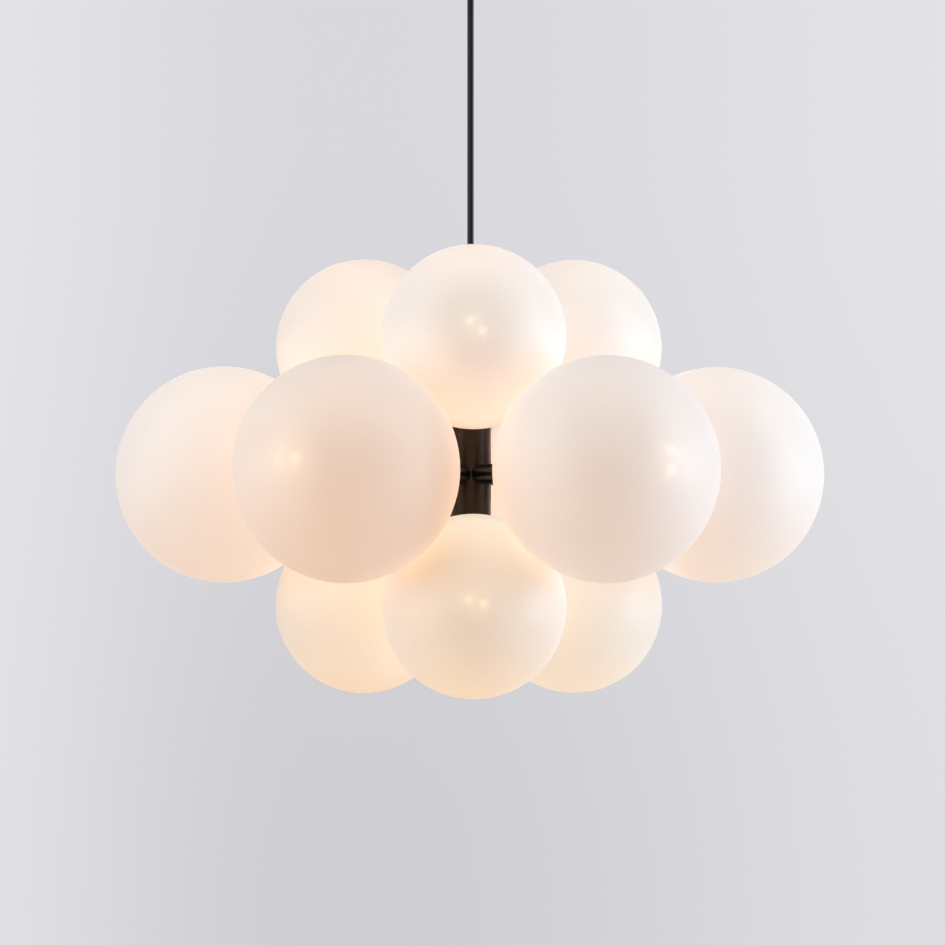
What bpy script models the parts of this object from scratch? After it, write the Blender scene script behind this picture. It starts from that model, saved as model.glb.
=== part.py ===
"""Cluster pendant light: twelve opal glass globes in three tiers round a short hub column on a cable.

Metres, +Z up. The origin is the centre of the ceiling plate's top face, and the front faces -Y.
Each globe's head (arm, lampholder, bulb and globe) is drawn in its own frame: +Z runs outwards
along the arm from the column's axis, +Y is up, and an empty places it in its tier.
"""

import math

import bmesh
import bpy
from mathutils import Matrix

# Fits shared by all pieces
SEAT_GAP = 0.0003  # between two pieces that rest on each other
THREAD_GAP = 0.0007  # round a coarse thread that is turned by hand
OVERRUN = 0.002  # how far a cutter reaches past what it cuts
WELD_DISTANCE = 0.000001  # points closer than this are one point

# Glass globes
MIDDLE_GLOBE_RADIUS = 0.100
SMALL_GLOBE_RADIUS = 0.083
GLASS_WALL = 0.0025
NECK_RADIUS = 0.0235
NECK_BORE_RADIUS = 0.0205
NECK_HEIGHT = 0.008
NECK_FILLET = 0.002

# Layout of the cluster
MIDDLE_COUNT = 6
SMALL_COUNT = 3
SIDE_GAP = 0.028  # between neighbouring globes of the middle tier
NEST_GAP = 0.003  # between a small globe and the two middle globes that it nests in
SHORT_ARM_LENGTH = 0.0046  # from the column to the fitter of a small globe

# Hub column and the three hubs inside it
COLUMN_RADIUS = 0.019
COLUMN_WALL = 0.0016
COLUMN_END = 0.020  # from a small tier's arms to the end of the tube
MIDDLE_HUB_HEIGHT = 0.020
MIDDLE_HUB_BORE_RADIUS = 0.0105
END_HUB_REACH = 0.009  # how far an end hub reaches past its arms into the tube
END_CAP_THICKNESS = 0.003
END_CAP_CHAMFER = 0.001
FINIAL_RADIUS = 0.009
FINIAL_HEIGHT = 0.006

# Arms
ARM_SPACING = 0.0005  # between neighbouring arms where they leave the column
SPIGOT_RADIUS = 0.004
SPIGOT_LENGTH = 0.0075  # inwards from the column's outside
SPIGOT_ROOT = 0.003  # how far the spigot is let into the arm
WIRE_BORE_RADIUS = 0.0025
ARM_FILLET = 0.002
FITTER_OVERHANG = 0.001  # fitter plate past the neck's outside
FITTER_THICKNESS = 0.0025
BOSS_LENGTH = 0.009  # threaded boss inside the neck

# Lampholder and bulb
HOLDER_BASE_RADIUS = 0.0115
HOLDER_BASE_HEIGHT = 0.003
HOLDER_RADIUS = 0.0095
HOLDER_HEIGHT = 0.015
BULB_BASE_RADIUS = 0.0058
BULB_BASE_LENGTH = 0.007
BULB_SHOULDER = 0.003
BULB_RADIUS = 0.008
BULB_LENGTH = 0.045

# Cable and its grip on the column
CORD_RADIUS = 0.003
CORD_LENGTH = 0.296
CORD_POINT_SPACING = 0.018  # between points of the cable's route
GRIP_HEIGHT = 0.028
GRIP_COLLAR_HEIGHT = 0.006
GRIP_BASE_RADIUS = 0.010
GRIP_TIP_RADIUS = 0.0052
GRIP_SPIGOT_RADIUS = 0.005
GRIP_SPIGOT_LENGTH = 0.006
GRIP_SOCKET_DEPTH = 0.012
CONDUCTOR_BORE_RADIUS = 0.0018

# Ceiling fitting
CANOPY_RADIUS = 0.060
CANOPY_WALL = 0.0012
CANOPY_DEPTH = 0.026
CANOPY_CORNER = 0.005
CANOPY_RIM_GAP = 0.0005  # between the canopy's rim and the ceiling
PLATE_THICKNESS = 0.002
PLATE_LIP_DEPTH = 0.010
PLATE_SLIP = 0.0005  # between the plate's lip and the canopy
PLATE_WIRE_HOLE_RADIUS = 0.007
PLATE_WIRE_HOLE_OFFSET = 0.024
PLATE_SLOT_RADIUS = 0.0025
PLATE_SLOT_LENGTH = 0.014
PLATE_SLOT_OFFSET = 0.036
SCREW_RADIUS = 0.0019
SCREW_HEAD_RADIUS = 0.004
SCREW_HEAD_LENGTH = 0.005
SCREW_HEAD_CHAMFER = 0.0006
SCREW_REACH = 0.0015  # past the inside of the plate's lip
BUSH_NECK_RADIUS = 0.006
BUSH_BARB_RADIUS = 0.0068
BUSH_BARB_HEIGHT = 0.003
BUSH_TAIL_HEIGHT = 0.005
BUSH_FLANGE_RADIUS = 0.0095
BUSH_FLANGE_THICKNESS = 0.002
BUSH_TIP_RADIUS = 0.0065
BUSH_DROP = 0.016
BUSH_PIVOT_DROP = 0.010  # from the canopy's floor to where the cable bends
BLOCK_LENGTH = 0.030
BLOCK_WIDTH = 0.016
BLOCK_HEIGHT = 0.012
BLOCK_BEVEL = 0.001
BLOCK_OFFSET = 0.026
BLOCK_WELL_RADIUS = 0.0022
BLOCK_WELL_DEPTH = 0.006
BLOCK_POLES = 3

# The cable may sway this far each way in the ceiling bush
SWAY_LIMIT = math.radians(12)

# Facet counts
GLOBE_STEPS = 16
HALF_GLOBE_STEPS = 4  # from the outer pole to the widest ring, and from there to the neck
COLUMN_STEPS = 24
HUB_STEPS = 24
ARM_STEPS = 14
HOLE_STEPS = 8
BORE_STEPS = 6
LAMP_STEPS = 8
SMALL_TURNED_STEPS = 12
DOME_STEPS = 2
CANOPY_STEPS = 28
CORD_SIDES_RESOLUTION = 3
SHARP_ANGLE = math.radians(40)

# Sizes that follow from those above
PLUG_RADIUS = COLUMN_RADIUS - COLUMN_WALL - SEAT_GAP
HOLE_RADIUS = SPIGOT_RADIUS + SEAT_GAP
ARM_RADIUS = COLUMN_RADIUS * math.sin(math.pi / MIDDLE_COUNT) - ARM_SPACING / 2
FITTER_RADIUS = NECK_RADIUS + FITTER_OVERHANG
BOSS_RADIUS = NECK_BORE_RADIUS - THREAD_GAP


def neck_root(globe_radius):
    """Distance from a globe's centre to where its neck leaves the sphere."""
    return math.sqrt(globe_radius**2 - NECK_RADIUS**2)


def fitter_front(tier_radius, globe_radius):
    """Distance from the column's axis to the fitter face that the neck's rim seats on."""
    return tier_radius - neck_root(globe_radius) - NECK_HEIGHT - SEAT_GAP


MIDDLE_TIER_RADIUS = (MIDDLE_GLOBE_RADIUS + SIDE_GAP / 2) / math.sin(math.pi / MIDDLE_COUNT)
SMALL_TIER_RADIUS = (
    COLUMN_RADIUS
    + SHORT_ARM_LENGTH
    + FITTER_THICKNESS
    + SEAT_GAP
    + NECK_HEIGHT
    + neck_root(SMALL_GLOBE_RADIUS)
)


def tier_rise():
    """Height between the tiers at which each small globe nests between two middle globes."""
    half_pitch = math.pi / MIDDLE_COUNT
    across_squared = (
        SMALL_TIER_RADIUS**2
        + MIDDLE_TIER_RADIUS**2
        - 2 * SMALL_TIER_RADIUS * MIDDLE_TIER_RADIUS * math.cos(half_pitch)
    )
    centres = MIDDLE_GLOBE_RADIUS + SMALL_GLOBE_RADIUS + NEST_GAP
    return math.sqrt(centres**2 - across_squared)


TIER_RISE = tier_rise()
COLUMN_HALF = TIER_RISE + COLUMN_END

# Heights, from the ceiling down
CANOPY_FLOOR_Z = -CANOPY_DEPTH
PIVOT_Z = CANOPY_FLOOR_Z - BUSH_PIVOT_DROP
CORD_BOTTOM_Z = PIVOT_Z - CORD_LENGTH
GRIP_TOP_Z = CORD_BOTTOM_Z - SEAT_GAP + GRIP_SOCKET_DEPTH
GRIP_BASE_Z = GRIP_TOP_Z - GRIP_HEIGHT
COLUMN_TOP_Z = GRIP_BASE_Z - SEAT_GAP - END_CAP_THICKNESS - SEAT_GAP
MIDDLE_Z = COLUMN_TOP_Z - COLUMN_HALF
UPPER_Z = MIDDLE_Z + TIER_RISE
LOWER_Z = MIDDLE_Z - TIER_RISE
COLUMN_BOTTOM_Z = MIDDLE_Z - COLUMN_HALF


class Tier:
    """One ring of heads: its name, height, count, first angle, tier radius and globe radius."""

    def __init__(self, name, height, count, first_angle, radius, globe_radius):
        self.name = name
        self.height = height
        self.count = count
        self.first_angle = first_angle
        self.radius = radius
        self.globe_radius = globe_radius

    def angles(self):
        """Each head's turn about +Z from the front."""
        return [self.first_angle + 2 * math.pi * k / self.count for k in range(self.count)]


SMALL_HEADS = (SMALL_COUNT, 0.0, SMALL_TIER_RADIUS, SMALL_GLOBE_RADIUS)
MIDDLE_HEADS = (MIDDLE_COUNT, math.pi / MIDDLE_COUNT, MIDDLE_TIER_RADIUS, MIDDLE_GLOBE_RADIUS)
UPPER = Tier("upper", UPPER_Z, *SMALL_HEADS)
MIDDLE = Tier("middle", MIDDLE_Z, *MIDDLE_HEADS)
LOWER = Tier("lower", LOWER_Z, *SMALL_HEADS)
TIERS = (UPPER, MIDDLE, LOWER)


# Materials


def material(name, colour, roughness, metallic=0.0):
    """A plain Principled material."""
    made = bpy.data.materials.new(name)
    made.use_nodes = True
    made.diffuse_color = (*colour, 1.0)
    shader = made.node_tree.nodes["Principled BSDF"]
    shader.inputs["Base Color"].default_value = (*colour, 1.0)
    shader.inputs["Roughness"].default_value = roughness
    shader.inputs["Metallic"].default_value = metallic
    return made


def opal_glass():
    """Warm white opal glass, lit from inside."""
    made = material("opal_glass", (0.85, 0.76, 0.66), 0.35)
    shader = made.node_tree.nodes["Principled BSDF"]
    shader.inputs["Emission Color"].default_value = (1.0, 0.82, 0.62, 1.0)
    shader.inputs["Emission Strength"].default_value = 0.4
    return made


# Modelling helpers


def arc(centre_r, centre_z, radius, start, end, steps):
    """Points of an arc in a turned outline, from one angle to another about (centre_r, centre_z)."""
    angles = [start + (end - start) * k / steps for k in range(steps + 1)]
    return [(centre_r + radius * math.cos(a), centre_z + radius * math.sin(a)) for a in angles]


def mesh_from(name, bm):
    """Close a bmesh into a smooth-shaded mesh with its normals facing out."""
    bmesh.ops.remove_doubles(bm, verts=bm.verts, dist=WELD_DISTANCE)
    bmesh.ops.recalc_face_normals(bm, faces=bm.faces)
    mesh = bpy.data.meshes.new(name)
    bm.to_mesh(mesh)
    bm.free()
    mesh.shade_smooth()
    mesh.set_sharp_from_angle(angle=SHARP_ANGLE)
    return mesh


def turned(name, outline, steps, ring=False):
    """Spin an outline of (radius, height) points about Z. A ring's outline closes on itself."""
    bm = bmesh.new()
    points = [bm.verts.new((radius, 0, height)) for radius, height in outline]
    pairs = list(zip(points, points[1:]))
    if ring:
        pairs.append((points[-1], points[0]))
    edges = [bm.edges.new(pair) for pair in pairs]
    bmesh.ops.spin(
        bm,
        geom=points + edges,
        cent=(0, 0, 0),
        axis=(0, 0, 1),
        angle=2 * math.pi,
        steps=steps,
        use_merge=True,
    )
    return mesh_from(name, bm)


def rod(name, radius, start, end, steps):
    """A plain round bar along Z."""
    outline = [(0, start), (radius, start), (radius, end), (0, end)]
    return turned(name, outline, steps)


def half_facet(steps):
    """A turn about Z that brings the middle of a facet, not a corner, to face each arm."""
    return Matrix.Rotation(math.pi / steps, 4, "Z")


def turned_for_arms(name, outline, steps, ring=False):
    """A turned body of the hub column, with a facet's middle under each arm."""
    mesh = turned(name, outline, steps, ring)
    mesh.transform(half_facet(steps))
    return mesh


def placed(name, mesh, colour=None, parent=None, location=(0, 0, 0), rotation=(0, 0, 0)):
    """Put a mesh into the scene as a named object."""
    made = bpy.data.objects.new(name, mesh)
    bpy.context.scene.collection.objects.link(made)
    made.parent = parent
    made.location = location
    made.rotation_euler = rotation
    if colour and not mesh.materials:
        mesh.materials.append(colour)
    return made


def combined(mesh, operation, *tools):
    """The mesh after a Boolean with each tool mesh, every tool given with its own matrix."""
    body = placed(mesh.name, mesh)
    for tool_mesh, matrix in tools:
        tool = placed("tool", tool_mesh)
        tool.matrix_world = matrix
        tool.hide_render = True
        tool.display_type = "WIRE"
        change = body.modifiers.new("shape", "BOOLEAN")
        change.operation = operation
        change.solver = "EXACT"
        change.object = tool
        bpy.context.view_layer.update()
        graph = bpy.context.evaluated_depsgraph_get()
        result = bpy.data.meshes.new_from_object(body.evaluated_get(graph))
        body.modifiers.clear()
        body.data = result
        bpy.data.objects.remove(tool)
    result.name = mesh.name
    bpy.data.objects.remove(body)
    result.shade_smooth()
    result.set_sharp_from_angle(angle=SHARP_ANGLE)
    return result


def head_matrix(tier, angle):
    """From a head's own frame to the world."""
    turn = Matrix.Rotation(angle, 4, "Z") @ Matrix.Rotation(math.pi / 2, 4, "X")
    return Matrix.Translation((0, 0, tier.height)) @ turn


# Heads


def globe_mesh(tier):
    """A blown globe with its neck: outside, rim, bore and inside in one outline."""
    radius = tier.globe_radius
    inside = radius - GLASS_WALL
    rim = tier.radius - neck_root(radius) - NECK_HEIGHT
    fillet_radius = NECK_RADIUS + NECK_FILLET
    outer_end = -math.acos(fillet_radius / radius)
    inner_end = -math.acos(NECK_BORE_RADIUS / inside)
    neck_top = rim + NECK_HEIGHT - NECK_FILLET
    outline = arc(0, tier.radius, radius, math.pi / 2, 0, HALF_GLOBE_STEPS)
    outline += arc(0, tier.radius, radius, 0, outer_end, HALF_GLOBE_STEPS)[1:]
    outline += [(NECK_RADIUS, neck_top), (NECK_RADIUS, rim), (NECK_BORE_RADIUS, rim)]
    outline += arc(0, tier.radius, inside, inner_end, 0, HALF_GLOBE_STEPS)
    outline += arc(0, tier.radius, inside, 0, math.pi / 2, HALF_GLOBE_STEPS)[1:]
    return turned(f"globe_{tier.name}", outline, GLOBE_STEPS)


def arm_mesh(tier):
    """An arm coped to the column, with its spigot, its fitter plate and the globe's threaded boss."""
    front = fitter_front(tier.radius, tier.globe_radius)
    back = front - FITTER_THICKNESS
    boss_end = front + BOSS_LENGTH
    spigot_end = COLUMN_RADIUS - SPIGOT_LENGTH
    outline = [
        (0, spigot_end),
        (ARM_RADIUS, spigot_end),
        (ARM_RADIUS, back - ARM_FILLET),
        (ARM_RADIUS + ARM_FILLET, back),
        (FITTER_RADIUS, back),
        (FITTER_RADIUS, front),
        (BOSS_RADIUS, front),
        (BOSS_RADIUS, boss_end),
        (0, boss_end),
    ]
    blank = turned(f"arm_{tier.name}", outline, ARM_STEPS)
    round_the_column = Matrix.Rotation(math.pi / 2, 4, "X") @ half_facet(COLUMN_STEPS)
    cope_radius = COLUMN_RADIUS + SEAT_GAP
    cope_half = ARM_RADIUS + OVERRUN
    cope = rod("cope", cope_radius, -cope_half, cope_half, COLUMN_STEPS)
    spigot = rod("spigot", SPIGOT_RADIUS, spigot_end, COLUMN_RADIUS + SPIGOT_ROOT, HOLE_STEPS)
    bore = rod("bore", WIRE_BORE_RADIUS, spigot_end - OVERRUN, boss_end + OVERRUN, BORE_STEPS)
    coped = combined(blank, "DIFFERENCE", (cope, round_the_column))
    joined = combined(coped, "UNION", (spigot, Matrix()))
    return combined(joined, "DIFFERENCE", (bore, Matrix()))


def lampholder_mesh(tier):
    """A ceramic holder on the boss, with the socket that the bulb's base goes into."""
    foot = fitter_front(tier.radius, tier.globe_radius) + BOSS_LENGTH + SEAT_GAP
    top = foot + HOLDER_HEIGHT
    socket_radius = BULB_BASE_RADIUS + SEAT_GAP
    socket_floor = top - BULB_BASE_LENGTH - SEAT_GAP
    outline = [
        (0, foot),
        (HOLDER_BASE_RADIUS, foot),
        (HOLDER_BASE_RADIUS, foot + HOLDER_BASE_HEIGHT),
        (HOLDER_RADIUS, foot + HOLDER_BASE_HEIGHT),
        (HOLDER_RADIUS, top),
        (socket_radius, top),
        (socket_radius, socket_floor),
        (0, socket_floor),
    ]
    return turned(f"lampholder_{tier.name}", outline, LAMP_STEPS)


def bulb_mesh(tier):
    """A capsule bulb: its base in the socket, a shoulder clear of the holder and a domed tube."""
    foot = fitter_front(tier.radius, tier.globe_radius) + BOSS_LENGTH + SEAT_GAP
    base = foot + HOLDER_HEIGHT - BULB_BASE_LENGTH
    rim = base + BULB_BASE_LENGTH + SEAT_GAP
    dome_centre = base + BULB_LENGTH - BULB_RADIUS
    outline = [(0, base), (BULB_BASE_RADIUS, base), (BULB_BASE_RADIUS, rim)]
    outline += arc(0, dome_centre, BULB_RADIUS, 0, math.pi / 2, DOME_STEPS)
    outline.insert(3, (BULB_RADIUS, rim + BULB_SHOULDER))
    return turned(f"bulb_{tier.name}", outline, LAMP_STEPS)


def build_heads(metal, ceramic, bulb_glass, opal):
    """Three tiers of heads, each on an empty at the column's axis."""
    for tier in TIERS:
        shapes = (
            ("arm", arm_mesh(tier), metal),
            ("lampholder", lampholder_mesh(tier), ceramic),
            ("bulb", bulb_mesh(tier), bulb_glass),
            ("globe", globe_mesh(tier), opal),
        )
        for number, angle in enumerate(tier.angles(), start=1):
            head = bpy.data.objects.new(f"head_{tier.name}_{number}", None)
            bpy.context.scene.collection.objects.link(head)
            head.location = (0, 0, tier.height)
            head.rotation_euler = (math.pi / 2, 0, angle)
            for piece, mesh, colour in shapes:
                placed(f"{piece}_{tier.name}_{number}", mesh, colour, parent=head)


# Hub column


def spigot_holes(tier, inner_radius):
    """Cutters for the holes of one tier's spigots, from inner_radius out through the column."""
    hole = rod("hole", HOLE_RADIUS, inner_radius, COLUMN_RADIUS + OVERRUN, HOLE_STEPS)
    return [(hole, head_matrix(tier, angle)) for angle in tier.angles()]


def build_column(metal):
    """The tube that shows, pierced for all the spigots."""
    inside = COLUMN_RADIUS - COLUMN_WALL
    outline = [
        (COLUMN_RADIUS, COLUMN_TOP_Z),
        (COLUMN_RADIUS, COLUMN_BOTTOM_Z),
        (inside, COLUMN_BOTTOM_Z),
        (inside, COLUMN_TOP_Z),
    ]
    tube = turned_for_arms("column", outline, COLUMN_STEPS, ring=True)
    cutters = [cutter for tier in TIERS for cutter in spigot_holes(tier, inside - OVERRUN)]
    placed("column", combined(tube, "DIFFERENCE", *cutters), metal)


def build_middle_hub(metal):
    """The ring inside the column that the six middle arms screw into."""
    low = MIDDLE_Z - MIDDLE_HUB_HEIGHT / 2
    high = MIDDLE_Z + MIDDLE_HUB_HEIGHT / 2
    outline = [
        (PLUG_RADIUS, high),
        (PLUG_RADIUS, low),
        (MIDDLE_HUB_BORE_RADIUS, low),
        (MIDDLE_HUB_BORE_RADIUS, high),
    ]
    ring = turned_for_arms("middle_hub", outline, HUB_STEPS, ring=True)
    cutters = spigot_holes(MIDDLE, MIDDLE_HUB_BORE_RADIUS - SEAT_GAP)
    placed("middle_hub", combined(ring, "DIFFERENCE", *cutters), metal)


def build_top_hub(metal):
    """The plug and cap at the column's top, bored through for the cable's grip."""
    bore = GRIP_SPIGOT_RADIUS + SEAT_GAP
    seat = COLUMN_TOP_Z + SEAT_GAP
    cap = seat + END_CAP_THICKNESS
    low = UPPER_Z - END_HUB_REACH
    outline = [
        (bore, cap),
        (COLUMN_RADIUS - END_CAP_CHAMFER, cap),
        (COLUMN_RADIUS, cap - END_CAP_CHAMFER),
        (COLUMN_RADIUS, seat),
        (PLUG_RADIUS, seat),
        (PLUG_RADIUS, low),
        (bore, low),
    ]
    plug = turned_for_arms("top_hub", outline, HUB_STEPS, ring=True)
    cutters = spigot_holes(UPPER, bore - SEAT_GAP)
    placed("top_hub", combined(plug, "DIFFERENCE", *cutters), metal)


def build_bottom_hub(metal):
    """The plug at the column's bottom, closed by a cap with a low domed finial."""
    bore = GRIP_SPIGOT_RADIUS + SEAT_GAP
    seat = COLUMN_BOTTOM_Z - SEAT_GAP
    cap = seat - END_CAP_THICKNESS
    high = LOWER_Z + END_HUB_REACH
    blind_end = LOWER_Z - END_HUB_REACH
    dome_radius = (FINIAL_RADIUS**2 + FINIAL_HEIGHT**2) / (2 * FINIAL_HEIGHT)
    dome_half = math.asin(FINIAL_RADIUS / dome_radius)
    dome_centre = cap - FINIAL_HEIGHT + dome_radius
    down = -math.pi / 2
    outline = [(0, blind_end), (bore, blind_end), (bore, high), (PLUG_RADIUS, high)]
    outline += [(PLUG_RADIUS, seat), (COLUMN_RADIUS, seat)]
    outline += [(COLUMN_RADIUS, cap + END_CAP_CHAMFER), (COLUMN_RADIUS - END_CAP_CHAMFER, cap)]
    outline += arc(0, dome_centre, dome_radius, down + dome_half, down, DOME_STEPS)
    plug = turned_for_arms("bottom_hub", outline, HUB_STEPS)
    cutters = spigot_holes(LOWER, bore - SEAT_GAP)
    placed("bottom_hub", combined(plug, "DIFFERENCE", *cutters), metal)


# Cable


def build_cord(sheath):
    """The cable between the ceiling bush and the column's grip, held straight by the lamp's weight."""
    route = [(0, 0, PIVOT_Z), (0, 0, CORD_BOTTOM_Z)]
    points = max(2, round(CORD_LENGTH / CORD_POINT_SPACING))
    curve = bpy.data.curves.new("cord", "CURVE")
    curve.dimensions = "3D"
    curve.bevel_depth = CORD_RADIUS
    curve.bevel_resolution = CORD_SIDES_RESOLUTION
    curve.use_fill_caps = True
    spline = curve.splines.new("POLY")
    spline.points.add(points - 1)
    for k, point in enumerate(spline.points):
        along = k / (points - 1)
        place = [start + (end - start) * along for start, end in zip(*route)]
        point.co = (*place, 1)
    curve.materials.append(sheath)
    made = bpy.data.objects.new("cord", curve)
    bpy.context.scene.collection.objects.link(made)


def build_cord_grip(metal):
    """The tapered grip screwed into the top hub, with the socket that the cable ends in."""
    socket = CORD_RADIUS + SEAT_GAP
    floor = GRIP_TOP_Z - GRIP_SOCKET_DEPTH
    spigot_end = GRIP_BASE_Z - GRIP_SPIGOT_LENGTH
    outline = [
        (socket, GRIP_TOP_Z),
        (GRIP_TIP_RADIUS, GRIP_TOP_Z),
        (GRIP_BASE_RADIUS, GRIP_BASE_Z + GRIP_COLLAR_HEIGHT),
        (GRIP_BASE_RADIUS, GRIP_BASE_Z),
        (GRIP_SPIGOT_RADIUS, GRIP_BASE_Z),
        (GRIP_SPIGOT_RADIUS, spigot_end),
        (CONDUCTOR_BORE_RADIUS, spigot_end),
        (CONDUCTOR_BORE_RADIUS, floor),
        (socket, floor),
    ]
    placed("cord_grip", turned("cord_grip", outline, SMALL_TURNED_STEPS, ring=True), metal)


# Ceiling fitting


def slot_mesh(radius, length, depth):
    """A cutter for a slot along X, drawn as a round bar with its two halves pulled apart."""
    bm = bmesh.new()
    half_step = Matrix.Rotation(math.pi / HOLE_STEPS, 4, "Z")
    bmesh.ops.create_cone(
        bm,
        cap_ends=True,
        segments=HOLE_STEPS,
        radius1=radius,
        radius2=radius,
        depth=depth,
        matrix=half_step,
    )
    stretch = length / 2 - radius
    for vertex in bm.verts:
        vertex.co.x += math.copysign(stretch, vertex.co.x)
    return mesh_from("slot", bm)


def sideways(sign):
    """A turn that lays +Z along +X or -X."""
    return Matrix.Rotation(sign * math.pi / 2, 4, "Y")


def build_ceiling_plate(steel):
    """The pressed plate screwed to the ceiling, with a lip that the canopy slides over."""
    radius = CANOPY_RADIUS - CANOPY_WALL - PLATE_SLIP
    inside = radius - PLATE_THICKNESS
    outline = [
        (0, 0),
        (radius, 0),
        (radius, -PLATE_LIP_DEPTH),
        (inside, -PLATE_LIP_DEPTH),
        (inside, -PLATE_THICKNESS),
        (0, -PLATE_THICKNESS),
    ]
    plate = turned("ceiling_plate", outline, CANOPY_STEPS)
    through = PLATE_THICKNESS + OVERRUN
    wire_hole = rod("wire_hole", PLATE_WIRE_HOLE_RADIUS, -through, through, HOLE_STEPS)
    slot = slot_mesh(PLATE_SLOT_RADIUS, PLATE_SLOT_LENGTH, 2 * through)
    screw_hole = rod(
        "screw_hole", SCREW_RADIUS + SEAT_GAP, inside - OVERRUN, radius + OVERRUN, BORE_STEPS
    )
    screw_height = Matrix.Translation((0, 0, screw_z()))
    cutters = [(wire_hole, Matrix.Translation((0, PLATE_WIRE_HOLE_OFFSET, 0)))]
    for sign in (-1, 1):
        cutters.append((slot, Matrix.Translation((sign * PLATE_SLOT_OFFSET, 0, 0))))
        cutters.append((screw_hole, screw_height @ sideways(sign)))
    placed("ceiling_plate", combined(plate, "DIFFERENCE", *cutters), steel)


def screw_z():
    """Height of the canopy's side screws: the middle of the plate's lip below the plate."""
    return -(PLATE_THICKNESS + PLATE_LIP_DEPTH) / 2


def build_canopy(metal):
    """The drawn cup that hides the ceiling connection, with a rounded lower edge."""
    hole = BUSH_NECK_RADIUS + SEAT_GAP
    inside = CANOPY_RADIUS - CANOPY_WALL
    corner_r = CANOPY_RADIUS - CANOPY_CORNER
    corner_z = CANOPY_FLOOR_Z + CANOPY_CORNER
    inner_corner = CANOPY_CORNER - CANOPY_WALL
    outline = [(inside, -CANOPY_RIM_GAP), (CANOPY_RADIUS, -CANOPY_RIM_GAP)]
    outline += arc(corner_r, corner_z, CANOPY_CORNER, 0, -math.pi / 2, DOME_STEPS)
    outline += [(hole, CANOPY_FLOOR_Z), (hole, CANOPY_FLOOR_Z + CANOPY_WALL)]
    outline += arc(corner_r, corner_z, inner_corner, -math.pi / 2, 0, DOME_STEPS)
    cup = turned("canopy", outline, CANOPY_STEPS, ring=True)
    screw_hole = rod(
        "screw_hole", SCREW_RADIUS + SEAT_GAP, inside - OVERRUN, CANOPY_RADIUS + OVERRUN, BORE_STEPS
    )
    screw_height = Matrix.Translation((0, 0, screw_z()))
    cutters = [(screw_hole, screw_height @ sideways(sign)) for sign in (-1, 1)]
    placed("canopy", combined(cup, "DIFFERENCE", *cutters), metal)


def build_canopy_screws(metal):
    """Two thumb screws through the canopy's side into the plate's lip."""
    lip_inside = CANOPY_RADIUS - CANOPY_WALL - PLATE_SLIP - PLATE_THICKNESS
    tip = lip_inside - SCREW_REACH
    seat = CANOPY_RADIUS + SEAT_GAP
    end = seat + SCREW_HEAD_LENGTH
    outline = [
        (0, tip),
        (SCREW_RADIUS, tip),
        (SCREW_RADIUS, seat),
        (SCREW_HEAD_RADIUS, seat),
        (SCREW_HEAD_RADIUS, end - SCREW_HEAD_CHAMFER),
        (SCREW_HEAD_RADIUS - SCREW_HEAD_CHAMFER, end),
        (0, end),
    ]
    mesh = turned("canopy_screw", outline, LAMP_STEPS)
    for side, sign in (("left", -1), ("right", 1)):
        turn = (0, sign * math.pi / 2, 0)
        placed(f"canopy_screw_{side}", mesh, metal, location=(0, 0, screw_z()), rotation=turn)


def build_cord_bush(rubber):
    """The snap-in bush in the canopy's floor. Its mouth flares so that the cable may sway."""
    neck_top = CANOPY_FLOOR_Z + CANOPY_WALL + SEAT_GAP
    barb_top = neck_top + BUSH_BARB_HEIGHT
    tail_top = barb_top + BUSH_TAIL_HEIGHT
    seat = CANOPY_FLOOR_Z - SEAT_GAP
    mouth_z = CANOPY_FLOOR_Z - BUSH_DROP
    throat = CORD_RADIUS + SEAT_GAP
    throat_top = PIVOT_Z + CORD_RADIUS * math.sin(SWAY_LIMIT) + SEAT_GAP
    mouth = throat / math.cos(SWAY_LIMIT) + (PIVOT_Z - mouth_z) * math.tan(SWAY_LIMIT)
    outline = [
        (CONDUCTOR_BORE_RADIUS, tail_top),
        (BUSH_NECK_RADIUS - SEAT_GAP, tail_top),
        (BUSH_BARB_RADIUS, barb_top),
        (BUSH_BARB_RADIUS, neck_top),
        (BUSH_NECK_RADIUS, neck_top),
        (BUSH_NECK_RADIUS, seat),
        (BUSH_FLANGE_RADIUS, seat),
        (BUSH_FLANGE_RADIUS, seat - BUSH_FLANGE_THICKNESS),
        (BUSH_TIP_RADIUS, mouth_z),
        (mouth, mouth_z),
        (throat, PIVOT_Z),
        (throat, throat_top),
        (CONDUCTOR_BORE_RADIUS, throat_top),
    ]
    mesh = turned("canopy_bush", outline, SMALL_TURNED_STEPS, ring=True)
    placed("canopy_bush", mesh, rubber)


def build_terminal_block(plastic):
    """The terminal block under the plate, with a screw well for each pole."""
    bm = bmesh.new()
    size = Matrix.Diagonal((BLOCK_LENGTH, BLOCK_WIDTH, BLOCK_HEIGHT, 1))
    bmesh.ops.create_cube(bm, size=1, matrix=size)
    bmesh.ops.bevel(
        bm,
        geom=bm.edges[:],
        offset=BLOCK_BEVEL,
        affect="EDGES",
        segments=1,
        profile=0.5,
        material=-1,
    )
    block = mesh_from("terminal_block", bm)
    bottom = -BLOCK_HEIGHT / 2
    well = rod("well", BLOCK_WELL_RADIUS, bottom - OVERRUN, bottom + BLOCK_WELL_DEPTH, BORE_STEPS)
    pitch = BLOCK_LENGTH / BLOCK_POLES
    places = [(k - (BLOCK_POLES - 1) / 2) * pitch for k in range(BLOCK_POLES)]
    cutters = [(well, Matrix.Translation((x, 0, 0))) for x in places]
    seat = -PLATE_THICKNESS - SEAT_GAP - BLOCK_HEIGHT / 2
    mesh = combined(block, "DIFFERENCE", *cutters)
    placed("terminal_block", mesh, plastic, location=(0, -BLOCK_OFFSET, seat))


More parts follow.
